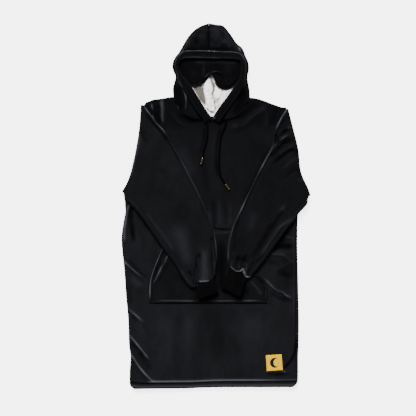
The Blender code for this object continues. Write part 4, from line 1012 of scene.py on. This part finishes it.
def cuff_start(table, away):
    """The cuff's upper edge, tucked inside the sleeve's gathered end."""
    x1, y1, x2, y2 = table[-1]
    width = math.hypot(x2 - x1, y2 - y1)
    nx, ny = (y2 - y1) / width, -(x2 - x1) / width
    if ny > 0:
        nx, ny = -nx, -ny
    ux, uy = (x2 - x1) / width * CUFF_TUCK, (y2 - y1) / width * CUFF_TUCK
    return x1 + nx * away + ux, y1 + ny * away + uy, x2 + nx * away - ux, y2 + ny * away - uy


def cuff(name, start, end, look):
    """Rib knit tube, folded back on itself at the wrist and drawn in where the sleeve gathers onto it."""
    per_rib = 8
    count = RIBS_ROUND * per_rib
    k = np.arange(count)
    phase = (k % per_rib) / per_rib
    rib = RIB_HEIGHT * np.clip(1.25 * np.sin(math.pi * phase) ** 1.5, 0, 1)
    floor = sleeve_floor(1.0)
    outer, inner = [], []
    for along in np.concatenate([np.linspace(0, 0.96, 26), [0.975, 0.987, 0.996, 1.0]]):
        ax, ay, bx, by = [s + (e - s) * along for s, e in zip(start, end)]
        width = math.hypot(bx - ax, by - ay)
        ux, uy = (bx - ax) / width, (by - ay) / width
        tall = 3.2 + 2.1 * float(ease((along - 0.12) / 0.25)) - 0.9 * float(ease((along - 0.95) / 0.05))
        straight = width - 2 * tall
        length = 2 * straight + 2 * math.pi * tall
        place = length * k / count
        for rings, off in ((outer, rib), (inner, -min(CUFF_WALL, tall - 0.5))):
            a1, a2 = (place - straight) / tall, (place - 2 * straight - math.pi * tall) / tall
            spans = [place < straight, place < straight + math.pi * tall, place < 2 * straight + math.pi * tall]
            across = np.select(spans, [tall + place, width - tall + (tall + off) * np.sin(a1),
                                       width - tall - (place - straight - math.pi * tall)],
                               tall - (tall + off) * np.sin(a2))
            height = np.select(spans, [-(tall + off) + 0 * place, -(tall + off) * np.cos(a1),
                                       tall + off + 0 * place], (tall + off) * np.cos(a2))
            x, y = ax + ux * across, ay + uy * across
            sag = 0.5 * cloud(x, y, 22, 17) * (height > 0)
            rings.append(np.stack([x, y, floor + tall + RIB_HEIGHT + height + sag], -1))
    return cloth(name, np.array(outer), np.array(inner), look, tube=True)


# rays round the face opening, and columns on the face of each
HOOD_RAYS = 120
HOOD_FACE = 38


def hood_panel(name, table, side, look):
    """Rays from the face opening over the folded edge and back under to the centre seam."""
    rows, nape = curve_through(table, HOOD_RAYS), curve_through(NAPE_SEAM, HOOD_RAYS)
    faces = np.linspace(0, 1, HOOD_FACE)
    outer, inner = [], []
    for k, (ex, ey, fx, fy, _ix, _iy, z_face, z_edge, swell) in enumerate(rows):
        # the last rays ease down onto the neck seam
        lap = float(ease((k - HOOD_RAYS + 13) / 12))
        ex += side * SEAM / 2 * float(ease(1 - k / (HOOD_RAYS - 1) * 12))
        cx, cy = nape[k][0] + side * SEAM / 2, nape[k][1] + SEAM * lap
        radius = z_edge / 2
        span = math.hypot(ex - fx, ey - fy)
        dx, dy = (ex - fx) / span, (ey - fy) / span
        back = math.hypot(cx - ex, cy - ey)
        ux, uy = (cx - ex) / back, (cy - ey) / back
        px, py = fx + dx * (span - radius) * faces, fy + dy * (span - radius) * faces
        corner = py[-1] - 11
        seam_y = read(FRONT_TOP, px, 1) - NECK_LAP
        seam_y += (corner - seam_y) * ease((faces - 0.8) / 0.2)
        py = py + (seam_y - py) * lap
        z = z_face + (z_edge - z_face) * ease(faces) + swell * np.sin(math.pi * faces)
        out_row, in_row = [np.stack([px, py, z], -1)], [np.stack([px, py, z - WALL], -1)]
        a = np.radians(np.arange(15, 151, 15))[:, None]
        blend = a / math.pi
        head = np.hstack([dx * (1 - blend) - ux * blend, dy * (1 - blend) - uy * blend])
        head /= np.linalg.norm(head, axis=1)[:, None]
        for rings, r in ((out_row, radius), (in_row, max(0.4, radius - WALL))):
            xy = np.array([[ex - dx * radius, ey - dy * radius - 11 * lap]]) + head * r * np.sin(a)
            rings.append(np.hstack([xy, radius + r * np.cos(a)]))
        s = np.linspace(0, 1, 14)
        bx = ex - dx * radius + (cx - ex + dx * radius) * s
        by = ey - dy * radius - 11 * lap + (cy - ey + dy * radius + 11 * lap) * s
        by = by + (read(BACK_TOP, bx, 1) + 2 * SEAM - by) * lap * ease(s / 0.2)
        out_row.append(np.stack([bx, by, 0 * s], -1))
        in_row.append(np.stack([bx, by, 0 * s + WALL], -1))
        outer.append(np.vstack(out_row))
        inner.append(np.vstack(in_row))
    outer, inner = np.array(outer), np.array(inner)
    x, y = outer[:, :HOOD_FACE, 0], outer[:, :HOOD_FACE, 1]
    rise, tone = ridges(x, y, HOOD_FOLDS)
    rise += 0.7 * cloud(x, y, 44, 21) + 0.35 * cloud(x, y, 19, 22) + 0.14 * cloud(x, y, 9, 23)
    rise *= ease(faces / 0.12) * ease((1 - faces) / 0.18)
    outer[:, :HOOD_FACE, 2] += rise
    inner[:, :HOOD_FACE, 2] += rise
    tone += (0.32 * cloud(x, y, 13, 24) - 0.15) * ease((y - 585) / 20)
    whole = np.zeros(outer.shape[:2])
    whole[:, :HOOD_FACE] = tone
    whole[:, HOOD_FACE:HOOD_FACE + 10] = tone[:, -1:]
    # dark in the seam at the neck
    seam_shade = np.array([-0.3, -0.7, -0.9, -0.9])[:, None]
    whole[-4:, :HOOD_FACE] = np.minimum(whole[-4:, :HOOD_FACE], seam_shade)
    # painted shade over the panel, darker towards the neck and on the right panel
    crown = ease((outer[..., 1] - 560) / 60)
    painted_area_shade = (0.5 - 0.2 * crown) if side > 0 else (0.66 - 0.18 * crown)
    return set_painted_light(cloth(name, outer, inner, look), whole, painted_area_shade)


# where the casings' stitching runs, filled in as they are made
seam_paths = {}


def hood_casing(name, table, end, side, look):
    """Band along the face opening: seam ridge, stitched groove, soft roll at its inner edge."""
    rows = [tuple(row[2:6]) for row in curve_through(table, 150)]
    last = rows[-1]
    rows += [tuple(a + (b - a) * t for a, b in zip(last, end)) for t in np.linspace(0.1, 1, 9)]
    profile = [
        (0.0, 0.16), (-0.01, 0.3), (0.02, 0.46), (0.07, 0.6), (0.14, 0.71), (0.22, 0.78), (0.32, 0.82),
        (0.45, 0.84), (0.58, 0.85), (0.68, 0.82), (0.74, 0.76), (0.79, 0.79), (0.85, 0.93), (0.91, 1.0),
        (0.96, 0.94), (1.0, 0.72), (1.0, 0.3), (0.84, 0.02), (0.5, 0.0), (0.16, 0.02)]
    rings = []
    for k, (ox, oy, ix, iy) in enumerate(rows):
        place = min(14 * k / 149, 14 + (k - 149) / 9)
        under = float(np.interp(place, *np.array(CASING_UNDER).T))
        width = math.hypot(ox - ix, oy - iy)
        ux, uy = (ox - ix) / width, (oy - iy) / width
        ox, oy = ox - ux * 2 * SEAM, oy - uy * 2 * SEAM
        shift = side * SEAM / 2 * float(ease(1 - k / 8))
        thick = CASING_THICK - 1.4 * float(ease((place - 12) / 2))
        thick -= 1.6 * float(ease((place - 14.6) / 0.4))
        across, up = np.array(profile).T
        x = ix + shift + (ox - ix) * across
        y = iy + (oy - iy) * across
        pucker = 0.5 * cloud(x, y, 13, 25) * (up > 0.5) * (across < 0.8)
        rings.append(np.stack([x, y, under + thick * up + pucker], -1))
    rings = np.array(rings)
    made = add_rings(name, rings, look)
    # painted highlight along the seam ridge and the inner roll, painted shade in the stitched groove and under
    # the roll
    tones = np.interp(across, [0, 0.08, 0.18, 0.34, 0.5, 0.76, 0.84, 0.92, 1.0],
                      [-0.9, 0.4, 0.5, -0.35, -0.6, -0.8, 0.1, 0.72, 0.1])
    # the brim catches the light, the sides lie in shade
    x, y = rings[..., 0], rings[..., 1]
    brim = ease((y - 545) / 25)
    whole = tones * (0.25 + 0.75 * brim) * (1 + 0.45 * cloud(x, y, 21, 27)) - 0.25 * (1 - brim)
    # the two tacks beside the brim's middle and the light knot where the bands cross
    for tack in (-24.7, -7):
        whole = whole + 0.55 * np.exp(-((x - tack) / 2.4) ** 2) * ease((across - 0.2) / 0.2) * brim
    whole += 0.8 * np.exp(-((x + 9) / 7) ** 2 - ((y - 336) / 5) ** 2)
    # lit edges of the sides: the seam ridge on the right, the middle of the band on the left
    ridge, height, middle = ((0.92, 26, 462) if side < 0 else (0.55, 20, 525))
    lit = np.exp(-((y - middle) / height) ** 2)
    whole += 0.55 * np.exp(-((across - ridge) / 0.14) ** 2) * lit
    whole -= 0.6 * ease((across - 0.84) / 0.08) * (1 - brim) * (1 - lit)
    seam_paths[name] = rings[2:-6, 10] + [0, 0, 0.1]
    return set_painted_light(made, whole, 0.72 - 0.5 * brim)


def lining(name, side, look):
    """One half of the lining that shows: curled high pile."""
    rows = curve_through(LINING_SIDES, 80)
    y = rows[:, :1]
    centre = -17 - 3 * ease((y - 340) / 120)
    edge = rows[:, 1:2] if side < 0 else rows[:, 2:3]
    s = np.linspace(0, 1, 46)[None, :]
    x = centre + side * SEAM / 2 + (edge - centre) * s
    y = np.broadcast_to(y, x.shape)
    fold = 1.6 * np.sin(math.pi * s) * ease((455 - y) / 40) * ease((y - 336) / 20)
    dip = 0.9 * (1 - ease(s / 0.15)) + 0.8 * ease((s - 0.85) / 0.15)
    curls = (0.9 * cloud(x, y, 7.5, 31) + 0.5 * cloud(x, y, 3.8, 32)) * (1 - ease((y - 500) / 12))
    rise, tone = ridges(x, y, LINING_FOLDS)
    tone += 0.22 * cloud(x, y, 9, 33)
    top = WALL + SEAM + LINING - dip + fold + rise * 0.8 + curls
    top = np.maximum(top, WALL + SEAM + 0.8)
    low = np.full(x.shape, WALL + SEAM)
    # painted shade and highlight along the lining's folds, with a little random tone
    return set_painted_light(layer(name, x, y, top, low, look), tone)


def eye_mask(look):
    """Padded sleep mask hanging from the brim, with a gap for the nose."""
    floor = WALL + SEAM + LINING + 0.6
    columns = curve_through(MASK_EDGE, 150)
    up = np.concatenate([[0, 0.012, 0.03, 0.055, 0.085, 0.12], np.linspace(0.16, 1, 46)])[:, None]
    x = np.broadcast_to(columns[:, 0][None, :], (len(up), 150))
    y = columns[:, 1][None, :] + (MASK_TOP - columns[:, 1][None, :]) * up
    side = np.minimum(np.arange(150), 149 - np.arange(150))[None, :]
    rim = np.minimum(np.minimum(ease(up / 0.16), ease(side / 12)), ease((1 - up) / 0.2) * 0.5 + 0.5)
    # quilted hollows of the padding
    quilt = 0.5 * cloud(x, y, 15, 41) + 0.3 * cloud(x, y, 8, 42)
    rise, tone = ridges(x, y, MASK_FOLDS)
    top = floor + 2.4 + (MASK_THICK - 2.4 - 0.8) * rim + (rise + quilt) * rim
    low = np.minimum(floor + (1 - rim), top - 1)
    # the fleece of the left lobe is pressed into small hollows, with painted shade in them and a painted
    # highlight between them
    pressed = cloud(x, y, 5.5, 43) * np.exp(-((x - 35) / 26) ** 2 - ((y - 470) / 18) ** 2)
    tone += 0.6 * pressed
    top += 0.8 * pressed * rim
    # painted light along the mask's folds, and painted shade over the whole mask
    return set_painted_light(layer("eye_mask_pad", x, y, top, low, look), tone, 0.35)


def tube_along(name, path, radius, look, around=8):
    """Thin solid cord through points in millimetres, rounded at both ends."""
    path = np.array(path, float)
    ahead = np.gradient(path, axis=0)
    ahead /= np.linalg.norm(ahead, axis=1)[:, None]
    flat = np.stack([-ahead[:, 1], ahead[:, 0], 0 * ahead[:, 0]], -1)
    flat /= np.linalg.norm(flat, axis=1)[:, None]
    up = np.cross(ahead, flat)
    a = 2 * math.pi * np.arange(around) / around
    size = np.full(len(path), radius)
    size[[0, -1]] = radius * 0.4
    rings = path[:, None, :] + size[:, None, None] * (
        flat[:, None, :] * np.cos(a)[None, :, None] + up[:, None, :] * np.sin(a)[None, :, None])
    return add_rings(name, rings, look, sharp=80)


def drawcord(name, route, look):
    """Round braided cord on the front, along the same points as its solid."""
    dense = curve_through(route, 400)
    gone = np.concatenate([[0.0], np.cumsum(np.hypot(*np.diff(dense, axis=0).T))])
    marks = np.linspace(0, gone[-1], int(gone[-1] / 4) + 1)
    xs, ys = np.interp(marks, gone, dense[:, 0]), np.interp(marks, gone, dense[:, 1])
    zs = front_height(xs, ys) + 0.4 + CORD_DIAMETER / 2
    curve = bpy.data.curves.new(name, "CURVE")
    curve.dimensions = "3D"
    curve.bevel_depth = CORD_DIAMETER / 2000
    curve.bevel_resolution = 5
    curve.use_fill_caps = True
    spline = curve.splines.new("POLY")
    spline.points.add(len(xs) - 1)
    points = np.stack([xs, ys, zs], -1) * 0.001
    for point, place in zip(spline.points, points):
        point.co = (*place, 1.0)
    spline.use_smooth = True
    curve.materials.append(look)
    made = in_scene(name, curve)
    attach(made, "root")
    length = float(np.linalg.norm(np.diff(points, axis=0), axis=1).sum())
    heading = math.atan2(ys[-1] - ys[-2], xs[-1] - xs[-2])
    return made, points[0], length, points[-1] * 1000, heading


def aglet(name, place, heading, look):
    """Metal cord end: round tube with a rolled rim at each end and a crimped groove."""
    profile = [
        (0.0, 0.7), (0.012, 0.9), (0.03, 0.99), (0.06, 1.02), (0.09, 1.0), (0.115, 0.92), (0.13, 0.88),
        (0.17, 0.91), (0.22, 0.92), (0.5, 0.92), (0.78, 0.92), (0.83, 0.91), (0.87, 0.88), (0.885, 0.92),
        (0.91, 1.0), (0.94, 1.02), (0.97, 0.99), (0.988, 0.9), (1.0, 0.66)]
    around = 36
    a = 2 * math.pi * np.arange(around) / around
    x, y, z = place
    radius = AGLET_DIAMETER / 2
    z += radius - CORD_DIAMETER / 2
    ux, uy = math.cos(heading), math.sin(heading)
    rings = []
    for share, size in profile:
        reach = SEAM + AGLET_LENGTH * share
        side = radius * size * np.cos(a)
        rings.append(np.stack([x + ux * reach - uy * side, y + uy * reach + ux * side,
                               z + radius * size * np.sin(a)], -1))
    return add_rings(name, rings, look, sharp=40)


def patch_place(u, v):
    """Where a share of the patch's width and height lies on the front."""
    turn = math.radians(PATCH_TURN)
    x = PATCH_CENTRE[0] + PATCH_SIDE * (u * math.cos(turn) - v * math.sin(turn))
    y = PATCH_CENTRE[1] + PATCH_SIDE * (u * math.sin(turn) + v * math.cos(turn))
    return x, y


def patch(look):
    """Square woven patch with its edge turned under."""
    places = np.concatenate([[-0.5, -0.494, -0.485, -0.47, -0.455], np.linspace(-0.44, 0.44, 30),
                             [0.455, 0.47, 0.485, 0.494, 0.5]])
    u, v = np.meshgrid(places, places)
    x, y = patch_place(u, v)
    rim = np.minimum(0.5 - np.abs(u), 0.5 - np.abs(v)) * PATCH_SIDE
    floor = front_height(x, y) + PATCH_LIFT
    # turned edge, then the dent of the stitches that hold it
    top = floor + PATCH_THICK - 0.6 * (1 - ease(rim / 1.2)) - 0.35 * np.exp(-((rim - 3.6) / 0.8) ** 2)
    return layer("patch_cloth", x, y, top, floor, look)


def crescent(look):
    """A plain crescent moon worked in dark satin stitch."""
    count = 40
    a = np.linspace(-2.2, 2.2, count)
    outer_u, outer_v = -0.31 * np.cos(a) + 0.04, 0.31 * np.sin(a)
    inner_u = -0.215 * np.cos(a * 0.99) + 0.17
    inner_v = 0.25 * np.sin(a * 0.99)
    share = np.linspace(0, 1, 9)[:, None]
    u = outer_u[None, :] * (1 - share) + inner_u[None, :] * share
    v = outer_v[None, :] * (1 - share) + inner_v[None, :] * share
    x, y = patch_place(u, v)
    base = front_height(x, y) + PATCH_LIFT + PATCH_THICK
    thread = 0.12 * np.sin(np.arange(count) * 2.2)[None, :]
    top = base + 0.15 + (0.45 + thread) * np.sin(math.pi * np.clip(share, 0.03, 0.97))
    return layer("patch_moon", x, y, top, base - 0.4, look)


def beside(line, away):
    """A path kept a steady distance to the right of another's travel."""
    ahead = np.gradient(line, axis=0)
    ahead /= np.linalg.norm(ahead, axis=1)[:, None]
    return line + away * np.stack([ahead[:, 1], -ahead[:, 0]], -1)


def stitches(name, path, look, length=STITCH_LENGTH, gap=STITCH_GAP):
    """A row of short thread stitches lying along a path of points in millimetres."""
    path = np.array(path, float)
    gone = np.concatenate([[0.0], np.cumsum(np.linalg.norm(np.diff(path, axis=0), axis=1))])
    starts = np.arange(gap, gone[-1] - length, length + gap)
    a = 2 * math.pi * np.arange(6) / 6
    sizes = ((0.0, 0.12), (0.2, 0.42), (0.5, 0.5), (0.8, 0.42), (1.0, 0.12))
    points, faces_side, faces_end = [], [], []
    for start in starts:
        marks = start + length * np.array([s for s, _ in sizes])
        line = np.stack([np.interp(marks, gone, path[:, k]) for k in range(3)], -1)
        ahead = line[-1] - line[0]
        ahead /= np.linalg.norm(ahead)
        flat = np.array([-ahead[1], ahead[0], 0.0])
        base = len(points)
        for (share, size), centre in zip(sizes, line):
            lift = STITCH_LIFT * math.sin(math.pi * (0.15 + 0.7 * share))
            for angle in a:
                rise = np.array([0, 0, lift + size * math.sin(angle)])
                points.append(centre + flat * size * math.cos(angle) + rise)
        index = base + np.arange(30).reshape(5, 6)
        index = np.hstack([index, index[:, :1]])
        faces_side.append(quads(index))
        faces_end += [index[0, :6][::-1], index[-1, :6]]
    return add_mesh(name, points, [np.vstack(faces_side), np.array(faces_end)], look)


# camera straight above, as in the photograph
view = bpy.data.cameras.new("overhead_camera")
view.lens = 90.0
view.sensor_width = 36.0
view.dof.use_dof = False
camera = in_scene("overhead_camera", view)
camera.location = (-0.031, -0.0057, 3.952)
camera.rotation_euler = (0.0, 0.0, 0.0)
bpy.context.scene.camera = camera

black = velour("black_velour_pile", "#040405", "#0D0D0F")
hood_black = velour("black_velour_pile_hood", "#040405", "#0D0E11")
# the mask's clumps and painted highlight #1C1C20, its painted sheen #0A0A0C
mask_black = velour("black_brushed_fleece_mask", "#010102", "#030304", "#1C1C20", "#0A0A0C", 0.006)
rib = rib_knit("black_rib_knit")
white = sherpa("white_sherpa_pile")
braided = braid("black_braided_polyester")
metal = brass_metal("brushed_brass")
yellow = twill("yellow_cotton_twill", "#B08600", "#CA9E00")
thread = twill("black_embroidery_thread", "#050505", "#121110")
piping_cloth = twill("grey_satin_piping", "#0E0D10", "#19171B", 0.02)

# drawcords first: free ends, no coil
for side, route in (("right", RIGHT_CORD), ("left", LEFT_CORD)):
    made, start, length, end, heading = drawcord(side + "_cord", route, braided)
    tip = aglet(side + "_aglet_metal", end, heading, metal)
    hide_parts(side + "_drawcord")
    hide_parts(side + "_aglet")

pieces = {
    "back_body": back_body(black),
    "front_body": front_body(black),
    "kangaroo_pocket": pocket(black),
    "right_sleeve": sleeve("right_sleeve_cloth", RIGHT_SLEEVE, RIGHT_BOW, RIGHT_SLEEVE_FOLDS, RIGHT_SCALLOP,
                           1, black),
    "left_sleeve": sleeve("left_sleeve_cloth", LEFT_SLEEVE, LEFT_BOW, LEFT_SLEEVE_FOLDS, LEFT_SCALLOP,
                          -1, black),
    "right_cuff": cuff("right_cuff_knit", cuff_start(RIGHT_SLEEVE, -16), RIGHT_CUFF_END, rib),
    "left_cuff": cuff("left_cuff_knit", cuff_start(LEFT_SLEEVE, -16), LEFT_CUFF_END, rib),
    "right_hood_panel": hood_panel("right_hood_panel_cloth", RIGHT_HOOD, -1, hood_black),
    "left_hood_panel": hood_panel("left_hood_panel_cloth", LEFT_HOOD, 1, hood_black),
    "right_hood_casing": hood_casing("right_hood_casing_cloth", RIGHT_HOOD, RIGHT_CASING_END, -1, hood_black),
    "left_hood_casing": hood_casing("left_hood_casing_cloth", LEFT_HOOD, LEFT_CASING_END, 1, hood_black),
    "right_hood_lining": lining("right_hood_lining_pile", -1, white),
    "left_hood_lining": lining("left_hood_lining_pile", 1, white),
    "eye_mask": eye_mask(mask_black),
    "patch": patch(yellow),
}
for name, made in pieces.items():
    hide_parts(name)
moon = crescent(thread)

xs = np.linspace(-316, 284, 160)
ys = read(HEM_LINE, xs, 1) + HEM_GROOVE
hem_thread = stitches("hem_stitches", np.stack([xs, ys, front_height(xs, ys) + 0.1], -1), thread)
line = curve_through(POCKET_SIDES, 80)
rows = [beside(line[:, [1, 0]], POCKET_GROOVE)[12:-8], beside(line[:, [2, 0]], -POCKET_GROOVE)[12:-8],
        np.stack([np.linspace(-240, 180, 90), np.full(90, -357.0)], -1),
        np.stack([np.linspace(-166, 116, 60), np.full(60, -101.0)], -1)]
rows = [np.column_stack([row, pocket_height(row[:, 0], row[:, 1])[0] + 0.1]) for row in rows]
pocket_thread = [stitches("pocket_stitches_%d" % k, row, thread) for k, row in enumerate(rows)]
casing_thread = {name: stitches(name + "_stitches", path, thread) for name, path in seam_paths.items()}
corners = [(-0.44, -0.44), (0.44, -0.44), (0.44, 0.44), (-0.44, 0.44), (-0.44, -0.44)]
u, v = [np.interp(np.linspace(0, 4, 81), range(5), side) for side in zip(*corners)]
x, y = patch_place(u, v)
path = np.stack([x, y, front_height(x, y) + PATCH_LIFT + PATCH_THICK - 0.35], -1)
patch_thread = stitches("patch_stitches", path, yellow, length=2.6, gap=1.0)

edge = curve_through(MASK_EDGE, 220)
tube_along("eye_mask_piping", [(x, y - 0.6, 9.8) for x, y in edge], 1.3, piping_cloth)

# pale seamless floor
floor_mesh = bpy.data.meshes.new("floor")
corners = [(-6, -6, -0.0005), (6, -6, -0.0005), (6, 6, -0.0005), (-6, 6, -0.0005)]
floor_mesh.from_pydata(corners, [], [(0, 1, 2, 3)])
floor_mesh.materials.append(paper("pale_seamless_paper"))
floor = in_scene("floor", floor_mesh)

world = bpy.data.worlds.new("studio")
bpy.context.scene.world = world
world.use_nodes = True
world.node_tree.nodes["Background"].inputs["Color"].default_value = paint("#FFFFFF")
world.node_tree.nodes["Background"].inputs["Strength"].default_value = 0.7
sun_lamp = bpy.data.lights.new("window_light", "SUN")
sun_lamp.energy = 11.0
sun_lamp.angle = math.radians(22)
sun = in_scene("window_light", sun_lamp)
sun.rotation_euler = (math.radians(-56), math.radians(-16), 0.0)
